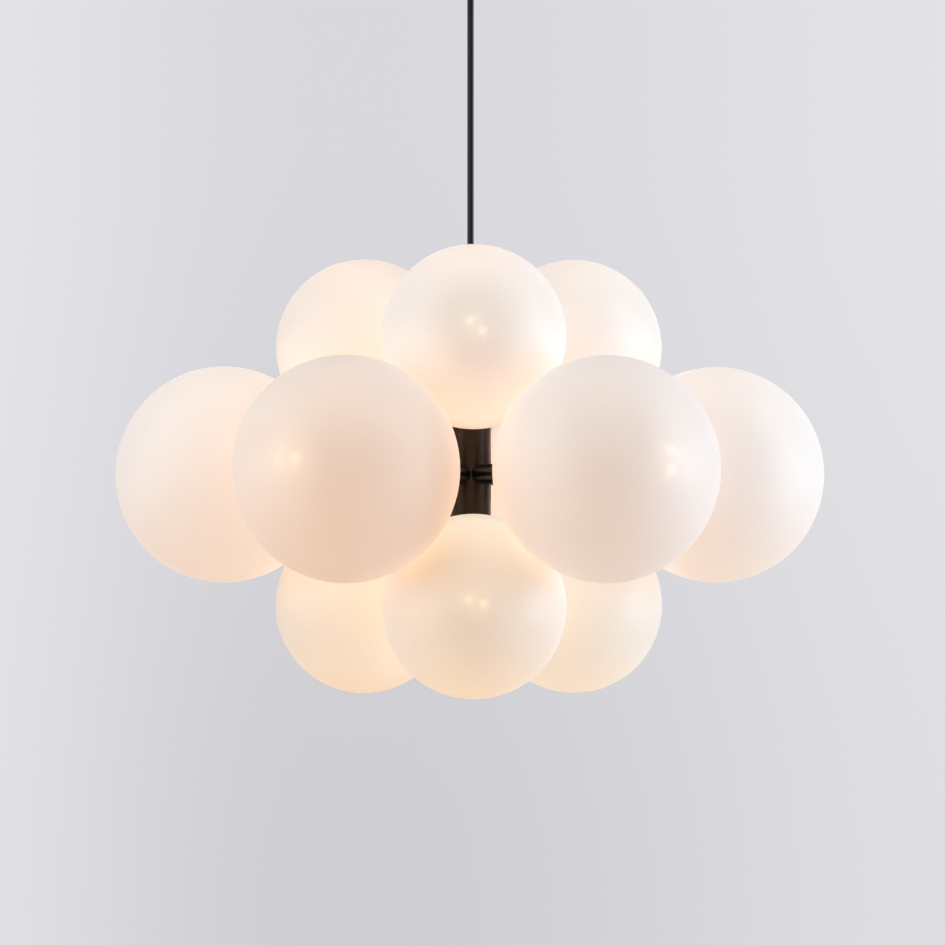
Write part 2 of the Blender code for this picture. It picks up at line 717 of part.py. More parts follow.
def main():
    """Clear the scene and build the whole lamp."""
    for old in list(bpy.data.objects):
        bpy.data.objects.remove(old)
    bronze = material("dark_bronze", (0.032, 0.022, 0.016), 0.38, metallic=0.6)
    hub_steel = material("hub_steel", (0.45, 0.44, 0.42), 0.4, metallic=1.0)
    plate_steel = material("plate_steel", (0.60, 0.60, 0.58), 0.35, metallic=1.0)
    ceramic = material("ceramic", (0.86, 0.84, 0.79), 0.5)
    bulb_glass = material("bulb_glass", (0.95, 0.90, 0.78), 0.15)
    sheath = material("cable_sheath", (0.012, 0.012, 0.013), 0.35)
    bush_rubber = material("bush_rubber", (0.02, 0.02, 0.02), 0.6)
    block_plastic = material("block_plastic", (0.82, 0.81, 0.78), 0.4)
    build_heads(bronze, ceramic, bulb_glass, opal_glass())
    build_column(bronze)
    build_middle_hub(hub_steel)
    build_top_hub(bronze)
    build_bottom_hub(bronze)
    build_cord_grip(bronze)
    build_cord(sheath)
    build_ceiling_plate(plate_steel)
    build_canopy(bronze)
    build_canopy_screws(bronze)
    build_cord_bush(bush_rubber)
    build_terminal_block(block_plastic)


main()
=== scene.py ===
"""Dressed model of a cluster pendant light: opal glass globes on a dark bronze hub column.

Every piece is in metres in the part's own frame: +Z up, the front towards -Y and the origin at the
centre of the ceiling plate's top face. A head is an arm with its lampholder, bulb and globe. Heads are
drawn with +Z running outwards along the arm and +Y up, and are then turned into their tier.
"""

import logging
import math
from dataclasses import dataclass, field
from enum import Enum
from typing import Iterable, Optional, Sequence

import bmesh
import bpy
from mathutils import Matrix, Vector


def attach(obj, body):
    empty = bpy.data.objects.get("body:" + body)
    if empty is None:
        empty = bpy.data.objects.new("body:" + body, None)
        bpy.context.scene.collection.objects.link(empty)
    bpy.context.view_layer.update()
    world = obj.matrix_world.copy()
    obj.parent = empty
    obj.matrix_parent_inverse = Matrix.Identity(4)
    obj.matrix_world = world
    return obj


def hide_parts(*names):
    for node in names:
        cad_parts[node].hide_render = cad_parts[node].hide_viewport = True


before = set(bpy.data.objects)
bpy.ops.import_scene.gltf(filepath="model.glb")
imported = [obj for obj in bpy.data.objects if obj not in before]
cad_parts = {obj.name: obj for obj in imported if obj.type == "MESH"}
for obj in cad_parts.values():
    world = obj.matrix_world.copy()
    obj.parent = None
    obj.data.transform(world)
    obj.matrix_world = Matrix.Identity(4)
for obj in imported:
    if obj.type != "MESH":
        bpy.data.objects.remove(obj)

LOG = logging.getLogger("pendant")
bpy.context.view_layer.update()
SHARP_ANGLE = math.radians(38)
QUARTER_TURN = math.pi / 2
WELD_DISTANCE = 0.000001
OVERRUN = 0.002

Colour = tuple[float, float, float]
Numbers = tuple[float, ...]
Material = bpy.types.Material
Mesh = bmesh.types.BMesh
Node = bpy.types.Node
NodeTree = bpy.types.NodeTree
Socket = bpy.types.NodeSocket
Thing = bpy.types.Object


class Slot(Enum):
    """The record's material slots."""

    OPAL = "opal_glass"
    BULB = "bulb_glass"
    BRONZE = "dark_bronze"
    HUB_STEEL = "hub_steel"
    PLATE_STEEL = "plate_steel"
    CERAMIC = "ceramic"
    SHEATH = "cable_sheath"
    BUSH = "bush_rubber"
    BLOCK = "block_plastic"


class Body(Enum):
    """The part's bodies that aren't globes."""

    CEILING = "ceiling_mount"
    CABLE = "cable"
    FIXTURE = "fixture"


class GlobeMark(Enum):
    """The attributes of a globe's glass that its glow reads."""

    PLACE = "globe_place"
    TURN = "spot_turn"
    TINT = "bulb_tint"
    # The last attribute carries painted light and shade on each globe's top and underside, added to its
    # glow.
    PAINTED_TOP_UNDERSIDE_LIGHT = "painted_top_underside_light"


@dataclass(frozen=True)
class Fits:
    """Sizes that several pieces share with the solids, in metres."""

    seat_gap: float = 0.0003
    thread_gap: float = 0.0007
    column_radius: float = 0.019
    column_wall: float = 0.0016
    column_top: float = -0.3519
    column_bottom: float = -0.633859
    arm_radius: float = 0.00925
    spigot_radius: float = 0.004
    wire_bore: float = 0.0025
    neck_radius: float = 0.0235
    neck_bore: float = 0.0205
    neck_height: float = 0.008
    glass_wall: float = 0.0025
    cord_radius: float = 0.003
    cord_top: float = -0.036
    cord_bottom: float = -0.332
    cord_wire_hole: float = 0.0018
    grip_spigot: float = 0.005
    canopy_wall: float = 0.0012
    canopy_depth: float = 0.026
    bush_neck: float = 0.006


FITS = Fits()


@dataclass(frozen=True)
class TierPlace:
    """One ring of heads: where it is, its light's tint, each bulb's warmth and turn, and the painted light
    and shade on each globe's top and underside.
    """

    name: str
    height: float
    count: int
    first_angle: float
    radius: float
    globe_radius: float
    warmth_shares: Numbers
    # Per globe: how much painted warm light its underside gets, and the painted light added to its top,
    # which is negative, so painted shade, on some globes.
    painted_underside_light_shares: Numbers
    painted_top_lights: tuple[Colour, ...]
    bulb_turns: Numbers
    tint: Colour

    def numbers(self) -> range:
        """The numbers of the tier's heads."""
        return range(1, self.count + 1)

    def tag(self, number: int) -> str:
        """The end of a head's names."""
        return f"{self.name}_{number}"

    def matrix(self, number: int) -> Matrix:
        """From a head's own frame to the part's.

        Args:
            number: The head's number, from 1.

        Returns:
            The matrix.
        """
        angle = self.first_angle + 2 * math.pi * (number - 1) / self.count
        turn = Matrix.Rotation(angle, 4, "Z") @ Matrix.Rotation(QUARTER_TURN, 4, "X")
        return Matrix.Translation((0, 0, self.height)) @ turn

    def neck_root(self) -> float:
        """Distance from a globe's centre to where its neck leaves the sphere."""
        return math.sqrt(self.globe_radius**2 - FITS.neck_radius**2)

    def fitter_front(self) -> float:
        """Distance from the column's axis to the face that the neck's rim seats on."""
        return self.radius - self.neck_root() - FITS.neck_height - FITS.seat_gap


# Painted light and shade on the globes' tops, added to their glow: warm painted light on the upper globes
# and the side and back middle ones, painted shade on the two front middle ones, and cool painted light on
# the lower ones.
PAINTED_WARM_TOP_LIGHT = (0.18, 0.08, 0.045)
PAINTED_SOFT_TOP_LIGHT = (0.095, 0.044, 0.025)
PAINTED_TOP_SHADE = (-0.04, -0.06, -0.03)
PAINTED_COOL_TOP_LIGHT = (-0.03, 0.10, 0.16)
UPPER = TierPlace(
    name="upper",
    height=-0.3719,
    count=3,
    first_angle=0.0,
    radius=0.1140037,
    globe_radius=0.083,
    warmth_shares=(0.25, 0.1, 0.6),
    painted_underside_light_shares=(0.0, 0.3, 0.3),
    painted_top_lights=(PAINTED_WARM_TOP_LIGHT, PAINTED_WARM_TOP_LIGHT, PAINTED_WARM_TOP_LIGHT),
    bulb_turns=(0.7, 1.9, 1.1),
    tint=(0.955, 1.0, 1.0),
)
MIDDLE = TierPlace(
    name="middle",
    height=-0.49288,
    count=6,
    first_angle=math.pi / 6,
    radius=0.228,
    globe_radius=0.100,
    warmth_shares=(0.25, 0.0, 0.3, 0.4, 0.3, 1.0),
    painted_underside_light_shares=(0.0, 0.6, 0.6, 0.6, 0.6, 0.0),
    painted_top_lights=(PAINTED_TOP_SHADE, PAINTED_SOFT_TOP_LIGHT, PAINTED_SOFT_TOP_LIGHT, PAINTED_SOFT_TOP_LIGHT, PAINTED_SOFT_TOP_LIGHT, PAINTED_TOP_SHADE),
    bulb_turns=(1.57, 0.4, 2.2, 0.9, 1.2, 0.0),
    tint=(1.0, 1.0, 1.0),
)
LOWER = TierPlace(
    name="lower",
    height=-0.613859,
    count=3,
    first_angle=0.0,
    radius=0.1140037,
    globe_radius=0.083,
    warmth_shares=(0.7, 0.3, 0.7),
    painted_underside_light_shares=(1.0, 1.0, 1.0),
    painted_top_lights=(PAINTED_COOL_TOP_LIGHT, PAINTED_COOL_TOP_LIGHT, PAINTED_COOL_TOP_LIGHT),
    bulb_turns=(0.32, 2.0, 0.8),
    tint=(0.96, 1.07, 1.0),
)
TIERS = (UPPER, MIDDLE, LOWER)


# Shader node helpers


class Graph:
    """Adds nodes to one node tree and links them."""

    def __init__(self, tree: NodeTree) -> None:
        """Keep the node tree of a material, a world or a group."""
        self.tree = tree

    def add(self, kind: str, inputs: Optional[dict] = None, **settings: object) -> Node:
        """Add a node.

        Args:
            kind: The node's Blender type name.
            inputs: Socket name or number to a value, or to an output socket to link from.
            settings: Attributes of the node.

        Returns:
            The new node.
        """
        node = self.tree.nodes.new(kind)
        for name, value in settings.items():
            setattr(node, name, value)
        for key, value in (inputs or {}).items():
            self.feed(node.inputs[key], value)
        return node

    def feed(self, socket: Socket, value: object) -> None:
        """Link an output socket to this input, or set its value.

        Args:
            socket: The input.
            value: An output socket, a number, a vector, or a colour without alpha.
        """
        if isinstance(value, Socket):
            self.tree.links.new(value, socket)
        elif socket.type == "RGBA":
            socket.default_value = (*value, 1.0)
        else:
            socket.default_value = value

    def math(self, operation: str, first: object, *others: object) -> Socket:
        """Run a Math operation on a value and each other one in turn.

        Args:
            operation: The Math node's operation.
            first: The first value.
            others: What it is added to, multiplied with and so on.

        Returns:
            The last result.
        """
        for other in others:
            first = self.add("ShaderNodeMath", {0: first, 1: other}, operation=operation).outputs[0]
        return first

    def vector(self, operation: str, *inputs: object) -> Socket:
        """Result of a Vector Math node, which is a value for a length or a distance."""
        node = self.add("ShaderNodeVectorMath", dict(enumerate(inputs)), operation=operation)
        return node.outputs["Value" if operation in ("LENGTH", "DISTANCE") else "Vector"]

    def noise(self, place: Socket, scale: object, detail: float = 3.0) -> Socket:
        """Value of a Noise Texture at a place."""
        return self.add("ShaderNodeTexNoise", {"Vector": place, "Scale": scale, "Detail": detail}).outputs[0]

    def ramp(self, value: Socket, ends: Numbers, results: Numbers = (0.0, 1.0)) -> Socket:
        """Ease a value from one range to another.

        Args:
            value: The value.
            ends: The two ends of its range.
            results: What the ends become.

        Returns:
            The eased value.
        """
        names = ("From Min", "From Max", "To Min", "To Max")
        inputs = {"Value": value, **dict(zip(names, (*ends, *results)))}
        return self.add("ShaderNodeMapRange", inputs, interpolation_type="SMOOTHSTEP").outputs[0]

    def split(self, vector: Socket) -> Sequence[Socket]:
        """The three numbers of a vector."""
        return self.add("ShaderNodeSeparateXYZ", {0: vector}).outputs

    def join(self, *numbers: object) -> Socket:
        """The vector of three numbers."""
        return self.add("ShaderNodeCombineXYZ", dict(enumerate(numbers))).outputs[0]

    def mix(self, share: Socket, first: object, second: object) -> Socket:
        """Colour between two colours."""
        inputs = {0: share, 6: first, 7: second}
        return self.add("ShaderNodeMix", inputs, data_type="RGBA").outputs[2]


class Group(Graph):
    """A shader node group in the making, which puts out plain values."""

    def __init__(self, name: str, inputs: dict[str, Optional[float]], outputs: Sequence[str]) -> None:
        """Make the group's sockets.

        Args:
            name: The group's name.
            inputs: Input name to its default, or to None for a vector.
            outputs: The outputs' names.
        """
        super().__init__(bpy.data.node_groups.new(name, "ShaderNodeTree"))
        new_socket = self.tree.interface.new_socket
        for label, default in inputs.items():
            kind = "NodeSocketVector" if default is None else "NodeSocketFloat"
            socket = new_socket(label, in_out="INPUT", socket_type=kind)
            if default is not None:
                socket.default_value = default
        for label in outputs:
            new_socket(label, in_out="OUTPUT", socket_type="NodeSocketFloat")
        self.given = self.add("NodeGroupInput").outputs
        self.out = self.add("NodeGroupOutput").inputs


class Surface(Graph):
    """A material in the making, with its Principled BSDF's inputs and its Object coordinates."""

    def __init__(self, name: str) -> None:
        """Make the material.

        Args:
            name: The material's name.
        """
        self.material = bpy.data.materials.new(name)
        self.material.use_nodes = True
        super().__init__(self.material.node_tree)
        self.shader = self.tree.nodes["Principled BSDF"].inputs
        self.place = self.add("ShaderNodeTexCoord").outputs["Object"]

    def put(self, label: str, value: object) -> None:
        """Feed an input of the Principled BSDF."""
        self.feed(self.shader[label], value)

    def mark(self, mark: GlobeMark, output: str = "Vector") -> Socket:
        """Read an attribute of the globes."""
        return self.add("ShaderNodeAttribute", attribute_name=mark.value).outputs[output]

    def mask(self, group: NodeTree, amount: float) -> Socket:
        """The mask of a dust group, or of the group for scuffed edges with a painted edge highlight."""
        inputs = {"Place": self.place, "Amount": amount}
        return self.add("ShaderNodeGroup", inputs, node_tree=group).outputs["Mask"]


# Effects


@dataclass(frozen=True)
class FineGrain:
    """A fine mottle: a broad cloud and a fine grain."""

    cloud_scale: float = 20.0
    cloud_detail: float = 4.0
    cloud_ends: Numbers = (0.3, 0.7)
    grain_scale: float = 900.0
    grain_detail: float = 2.0

    def build(self) -> NodeTree:
        """Make the group.

        Returns:
            The group, which puts out the two patterns.
        """
        inputs = {"Place": None, "Cloud Scale": self.cloud_scale, "Grain Scale": self.grain_scale}
        group = Group("fine_grain", inputs, ("Cloud", "Grain"))
        place, cloud_scale, grain_scale = group.given[:3]
        cloud = group.noise(place, cloud_scale, self.cloud_detail)
        group.feed(group.out["Cloud"], group.ramp(cloud, self.cloud_ends))
        group.feed(group.out["Grain"], group.noise(place, grain_scale, self.grain_detail))
        return group.tree


@dataclass(frozen=True)
class PatchyMask:
    """A mask on some parts of the surface, broken up by noise: scuffed edges with a painted edge highlight,
    or settled dust.
    """

    name: str
    amount: float
    ends: Numbers
    patch_scale: float
    patch_ends: Numbers
    patch_results: Numbers

    def cause(self, geometry: Node, group: Group) -> Socket:
        """The value that the mask follows."""
        raise NotImplementedError

    def build(self) -> NodeTree:
        """Make the group.

        Returns:
            The group, which puts out the mask.
        """
        group = Group(self.name, {"Place": None, "Amount": self.amount}, ["Mask"])
        place, amount = group.given[:2]
        found = group.ramp(self.cause(group.add("ShaderNodeNewGeometry"), group), self.ends)
        patchy = group.ramp(group.noise(place, self.patch_scale), self.patch_ends, self.patch_results)
        group.feed(group.out["Mask"], group.math("MULTIPLY", found, patchy, amount))
        return group.tree


@dataclass(frozen=True)
class EdgeWearAndHighlight(PatchyMask):
    """White on outside edges: scuffing, and on the dark bronze also a painted highlight along edges such as
    the arms' coped ends.
    """

    name: str = "edge_wear_and_highlight"
    amount: float = 0.5
    ends: Numbers = (0.52, 0.60)
    patch_scale: float = 160.0
    patch_ends: Numbers = (0.35, 0.65)
    patch_results: Numbers = (0.2, 1.0)

    def cause(self, geometry: Node, group: Group) -> Socket:
        """How far the surface stands out."""
        return geometry.outputs["Pointiness"]


@dataclass(frozen=True)
class SettledDust(PatchyMask):
    """White where light dust settles, on faces that look up."""

    name: str = "settled_dust"
    amount: float = 0.2
    ends: Numbers = (0.35, 1.0)
    patch_scale: float = 45.0
    patch_ends: Numbers = (0.3, 0.75)
    patch_results: Numbers = (0.3, 1.0)

    def cause(self, geometry: Node, group: Group) -> Socket:
        """How far the surface looks up."""
        return group.split(geometry.outputs["Normal"])[2]


@dataclass(frozen=True)
class BulbGlow:
    """How brightly the bulb lights each place on a globe of radius one.

    The bulb stands between the centre and the neck, so the glass near the neck is brighter. The
    bulb's two bright ends show as a pair of small soft spots with a wide halo at the outer pole.
    The glow is also painted stronger towards the underside and weaker towards the top: painted light and
    shade for the room's lamps, which light the top more than the underside.
    """

    bulb_offset: float = 0.6
    bulb_softness: float = 0.1
    falloff: float = 1.5
    spot_gap: float = 0.17
    spot_lift: float = 0.06
    spot_size: float = 0.085
    streak_ends: Numbers = (0.03, 0.26)
    streak_strength: float = 0.42
    streak_scale: float = 3.2
    streak_detail: float = 1.0
    streak_noise_ends: Numbers = (0.42, 0.66)
    halo_size: float = 0.36
    # How far the glow is painted weaker on the top and stronger on the underside: painted light and shade.
    painted_top_shade_share: float = 0.5

    def level(self, group: Group, outward: Socket) -> Socket:
        """Light of a small bulb at an offset from the centre.

        Args:
            group: The group.
            outward: How far the place is towards the outer pole.

        Returns:
            The light's strength.
        """
        offset, softness = group.given[1:3]
        lean = group.math("MULTIPLY", outward, offset)
        squared = group.math("MULTIPLY", offset, offset)
        distance = group.math("ADD", squared, group.math("MULTIPLY", lean, 2.0), softness, 1.0)
        loss = group.math("POWER", distance, self.falloff)
        return group.math("DIVIDE", group.math("ADD", lean, 1.0), loss)

    def spot(self, group: Group, place: Socket, sign: float) -> Socket:
        """One bright end of the bulb, with the streaks round it.

        Args:
            group: The group.
            place: The place, with the bulb lying along X.
            sign: Which end.

        Returns:
            The spot's strength.
        """
        centre = group.join(group.math("MULTIPLY", group.given["Spot Gap"], 0.5, sign), 0.0, 1.0)
        away = group.vector("SUBTRACT", place, centre)
        apart = group.vector("LENGTH", away)
        noise = group.noise(group.vector("NORMALIZE", away), self.streak_scale, self.streak_detail)
        fade = group.ramp(apart, self.streak_ends, (self.streak_strength, 0.0))
        streaks = group.math("MULTIPLY", fade, group.ramp(noise, self.streak_noise_ends))
        return group.math("ADD", group.ramp(apart, (0.0, self.spot_size), (1.0, 0.0)), streaks)

    def build(self) -> NodeTree:
        """Make the group.

        Returns:
            The group, which puts out the strength of each part of the glow.
        """
        inputs = {
            "Place": None,
            "Bulb Offset": self.bulb_offset,
            "Bulb Softness": self.bulb_softness,
            "Spot Turn": 0.0,
            "Spot Gap": self.spot_gap,
        }
        group = Group("bulb_glow", inputs, ("Level", "Spots", "Halo", "Painted Underside Light"))
        unit = group.vector("NORMALIZE", group.given["Place"])
        group.feed(group.out["Level"], self.level(group, group.split(unit)[2]))
        raised = group.vector("SUBTRACT", unit, (0.0, self.spot_lift, 0.0))
        rotation = {"Vector": raised, "Angle": group.given["Spot Turn"]}
        turned = group.add("ShaderNodeVectorRotate", rotation, rotation_type="Z_AXIS").outputs[0]
        spots = [self.spot(group, turned, sign) for sign in (-1.0, 1.0)]
        group.feed(group.out["Spots"], group.math("ADD", *spots))
        from_pole = group.vector("DISTANCE", raised, (0.0, 0.0, 1.0))
        group.feed(group.out["Halo"], group.ramp(from_pole, (0.0, self.halo_size), (1.0, 0.0)))
        # Painted light and shade: the glow is stronger towards the underside and weaker towards the top.
        up = group.split(group.add("ShaderNodeNewGeometry").outputs["Normal"])[2]
        loss = group.math("MULTIPLY", up, self.painted_top_shade_share)
        group.feed(group.out["Painted Underside Light"], group.math("SUBTRACT", 1.0, loss))
        return group.tree


class Effects:
    """The shader node groups of the finishes, each built once."""

    def __init__(self) -> None:
        """Build every group."""
        self.grain = FineGrain().build()
        self.wear_and_highlight = EdgeWearAndHighlight().build()
        self.dust = SettledDust().build()
        self.glow = BulbGlow().build()


# Finishes


@dataclass(frozen=True)
class Finish:
    """A finish: its record slot, colours and gloss, and how to make its material."""

    slot: Slot
    colour: Colour = (0.5, 0.5, 0.5)
    dusty: Colour = (0.42, 0.40, 0.38)
    dust_amount: float = 0.1
    roughness: float = 0.5
    roughness_spread: float = 0.06
    metallic: float = 0.0
    cloud_scale: float = 80.0
    cloud_ends: Numbers = (0.0, 1.0)
    grain_scale: float = 1400.0
    grain_ends: Numbers = (0.3, 0.7)
    relief: float = 0.1
    relief_depth: float = 0.0001

    def start(self) -> Surface:
        """Start the material.

        Returns:
            The material with its plain colour and gloss.
        """
        surface = Surface(f"{self.slot.value}_finish")
        surface.put("Roughness", self.roughness)
        surface.put("Metallic", self.metallic)
        surface.put("Base Color", self.colour)
        return surface

    def mottle(self, surface: Surface, effects: Effects, place: Socket) -> tuple[Socket, Socket]:
        """Add the grain, with its relief on the surface.

        Args:
            surface: The material.
            effects: The shared groups.
            place: Where the pattern is read.

        Returns:
            The broad cloud and the fine grain.
        """
        inputs = {"Place": place, "Cloud Scale": self.cloud_scale, "Grain Scale": self.grain_scale}
        grain = surface.add("ShaderNodeGroup", inputs, node_tree=effects.grain).outputs
        relief = {"Strength": self.relief, "Distance": self.relief_depth, "Height": grain["Grain"]}
        surface.put("Normal", surface.add("ShaderNodeBump", relief).outputs[0])
        return grain["Cloud"], grain["Grain"]

    def add_dust(self, surface: Surface, effects: Effects, clean: Socket) -> None:
        """Dust a clean colour and make it the material's."""
        dust = surface.mask(effects.dust, self.dust_amount)
        surface.put("Base Color", surface.mix(dust, clean, self.dusty))

    def vary_gloss(self, surface: Surface, pattern: Socket, ends: Numbers) -> None:
        """Let the roughness follow a pattern between two of its values."""
        results = (self.roughness - self.roughness_spread, self.roughness + self.roughness_spread)
        surface.put("Roughness", surface.ramp(pattern, ends, results))

    def build(self, effects: Effects) -> Material:
        """Make the whole material."""
        raise NotImplementedError


@dataclass(frozen=True)
class OpalGlass(Finish):
    """Satin opal glass lit from inside by a warm bulb."""

    slot: Slot = Slot.OPAL
    colour: Colour = (0.80, 0.79, 0.77)
    cloudy: Colour = (0.84, 0.83, 0.81)
    dusty: Colour = (0.70, 0.68, 0.65)
    dust_amount: float = 0.08
    roughness_spread: float = 0.05
    cloud_scale: float = 14.0
    grain_scale: float = 700.0
    relief: float = 0.04
    relief_depth: float = 0.0002
    even_glow: Colour = (0.114, 0.110, 0.081)
    near_glow: Colour = (0.057, 0.049, 0.035)
    facing_glow: Colour = (0.077, 0.035, 0.017)
    # The bulb's warm glow, with painted light and shade on it: stronger towards the underside, weaker on the
    # top.
    glow_with_painted_underside_light: Colour = (0.180, 0.083, 0.040)
    spot_glow: Colour = (0.17, 0.145, 0.09)
    halo_glow: Colour = (0.045, 0.034, 0.016)
    most_near: float = 2.5

    def glow(self, surface: Surface, effects: Effects) -> Socket:
        """Add up the parts of the glow.

        Args:
            surface: The material.
            effects: The shared groups.

        Returns:
            The colour of the glass's own light.
        """
        inputs = {"Place": surface.mark(GlobeMark.PLACE), "Spot Turn": surface.mark(GlobeMark.TURN, "Fac")}
        parts = surface.add("ShaderNodeGroup", inputs, node_tree=effects.glow).outputs
        edge = surface.add("ShaderNodeLayerWeight", {"Blend": 0.5}).outputs["Facing"]
        shares = (
            (self.near_glow, surface.math("MINIMUM", parts["Level"], self.most_near)),
            (self.facing_glow, surface.math("SUBTRACT", 1.0, edge)),
            (self.glow_with_painted_underside_light, parts["Painted Underside Light"]),
            (self.spot_glow, parts["Spots"]),
            (self.halo_glow, parts["Halo"]),
        )
        # Painted light and shade on the globe's top and underside, read from its own attribute, is added to
        # the even glow.
        light = surface.vector("ADD", surface.mark(GlobeMark.PAINTED_TOP_UNDERSIDE_LIGHT), self.even_glow)
        for colour, share in shares:
            light = surface.vector("MULTIPLY_ADD", colour, surface.join(share, share, share), light)
        return surface.vector("MULTIPLY", light, surface.mark(GlobeMark.TINT))

    def build(self, effects: Effects) -> Material:
        """Make the glass, with the glow that each globe's own attributes give.

        Args:
            effects: The shared groups.

        Returns:
            The material.
        """
        surface = self.start()
        cloud, _ = self.mottle(surface, effects, surface.place)
        self.add_dust(surface, effects, surface.mix(cloud, self.colour, self.cloudy))
        self.vary_gloss(surface, cloud, self.cloud_ends)
        surface.put("Emission Color", self.glow(surface, effects))
        surface.put("Emission Strength", 1.0)
        return surface.material


@dataclass(frozen=True)
class DarkBronze(Finish):
    """Dark bronze, satin lacquered, a little brighter on its edges, partly from scuffing by hands and partly
    as a painted highlight, such as the light line along the arms' coped ends.
    """

    slot: Slot = Slot.BRONZE
    colour: Colour = (0.031, 0.0195, 0.0128)
    deep: Colour = (0.024, 0.0152, 0.0102)
    # Lighter edge colour: scuffing, and a painted highlight along edges such as the arms' coped ends.
    worn_and_highlit: Colour = (0.16, 0.10, 0.062)
    dusty: Colour = (0.33, 0.31, 0.29)
    wear_and_highlight_amount: float = 0.5
    dust_amount: float = 0.12
    roughness: float = 0.30
    roughness_spread: float = 0.03
    metallic: float = 0.9
    cloud_scale: float = 28.0
    grain_scale: float = 1600.0
    relief: float = 0.03
    coat: float = 0.1
    coat_roughness: float = 0.25

    def build(self, effects: Effects) -> Material:
        """Make the metal, with its mottle, edges painted lighter for scuffing and a painted highlight, and
        dust.

        Args:
            effects: The shared groups.

        Returns:
            The material.
        """
        surface = self.start()
        cloud, _ = self.mottle(surface, effects, surface.place)
        metal = surface.mix(cloud, self.deep, self.colour)
        # Edges painted lighter: scuffing and a painted highlight.
        rubbed_and_highlit = surface.mix(surface.mask(effects.wear_and_highlight, self.wear_and_highlight_amount), metal, self.worn_and_highlit)
        self.add_dust(surface, effects, rubbed_and_highlit)
        self.vary_gloss(surface, cloud, self.cloud_ends)
        surface.put("Coat Weight", self.coat)
        surface.put("Coat Roughness", self.coat_roughness)
        return surface.material


@dataclass(frozen=True)
class Steel(Finish):
    """Bare or zinc-plated steel with fine brushing and a soft spangle."""

    slot: Slot = Slot.PLATE_STEEL
    colour: Colour = (0.60, 0.60, 0.59)
    shade: Colour = (0.46, 0.46, 0.47)
    worn_and_highlit: Colour = (0.75, 0.75, 0.74)
    wear_and_highlight_amount: float = 0.4
    roughness: float = 0.36
    roughness_spread: float = 0.09
    metallic: float = 1.0
    cloud_scale: float = 110.0
    grain_scale: float = 700.0
    stretch: Numbers = (1.0, 14.0, 1.0)

    def build(self, effects: Effects) -> Material:
        """Make the steel, with its pattern drawn out along the brushing.

        Args:
            effects: The shared groups.

        Returns:
            The material.
        """
        surface = self.start()
        drawn = surface.add("ShaderNodeMapping", {"Vector": surface.place, "Scale": self.stretch})
        cloud, grain = self.mottle(surface, effects, drawn.outputs[0])
        metal = surface.mix(cloud, self.shade, self.colour)
        wear_and_highlight = surface.mask(effects.wear_and_highlight, self.wear_and_highlight_amount)
        surface.put("Base Color", surface.mix(wear_and_highlight, metal, self.worn_and_highlit))
        self.vary_gloss(surface, grain, self.grain_ends)
        return surface.material


@dataclass(frozen=True)
class Matt(Finish):
    """A plain matt finish with a mottle, for ceramic, rubber and moulded plastic."""

    shade: Colour = (0.4, 0.4, 0.4)
    shine: float = 0.5

    def build(self, effects: Effects) -> Material:
        """Make the material, with its mottle and dust.

        Args:
            effects: The shared groups.

        Returns:
            The material.
        """
        surface = self.start()
        cloud, grain = self.mottle(surface, effects, surface.place)
        self.add_dust(surface, effects, surface.mix(cloud, self.shade, self.colour))
        self.vary_gloss(surface, grain, self.grain_ends)
        surface.put("Specular IOR Level", self.shine)
        return surface.material


@dataclass(frozen=True)
class LitBulb(Finish):
    """A frosted capsule bulb, lit."""

    slot: Slot = Slot.BULB
    colour: Colour = (0.90, 0.87, 0.80)
    amber: Colour = (1.0, 0.74, 0.42)
    cream: Colour = (1.0, 0.86, 0.60)
    roughness: float = 0.35
    cloud_scale: float = 180.0
    grain_scale: float = 1500.0
    relief: float = 0.08
    brightness: float = 2.0

    def build(self, effects: Effects) -> Material:
        """Make the frosted glass.

        Args:
            effects: The shared groups.

        Returns:
            The material.
        """
        surface = self.start()
        cloud, _ = self.mottle(surface, effects, surface.place)
        surface.put("Emission Color", surface.mix(cloud, self.amber, self.cream))
        surface.put("Emission Strength", self.brightness)
        return surface.material


FINISHES = (
    OpalGlass(),
    DarkBronze(),
    Steel(),
    Steel(slot=Slot.HUB_STEEL, colour=(0.50, 0.49, 0.47), stretch=(1.0, 1.0, 12.0)),
    Matt(slot=Slot.CERAMIC, colour=(0.86, 0.84, 0.79), shade=(0.78, 0.76, 0.71), roughness=0.55),
    Matt(
        slot=Slot.SHEATH,
        colour=(0.005, 0.005, 0.006),
        shade=(0.003, 0.003, 0.004),
        roughness=0.26,
        relief=0.04,
        dust_amount=0.0,
        shine=0.22,
    ),
    Matt(slot=Slot.BUSH, colour=(0.020, 0.020, 0.021), shade=(0.014, 0.014, 0.014), roughness=0.6),
    Matt(slot=Slot.BLOCK, colour=(0.82, 0.81, 0.77), shade=(0.76, 0.75, 0.70), roughness=0.42),
    LitBulb(),
)


class FinishSet:
    """All the lamp's materials, each made once."""

    def __init__(self) -> None:
        """Build every material."""
        effects = Effects()
        self.materials = {finish.slot: finish.build(effects) for finish in FINISHES}

    def of(self, slot: Slot) -> Material:
        """The material of a slot."""
        return self.materials[slot]


# Mesh helpers


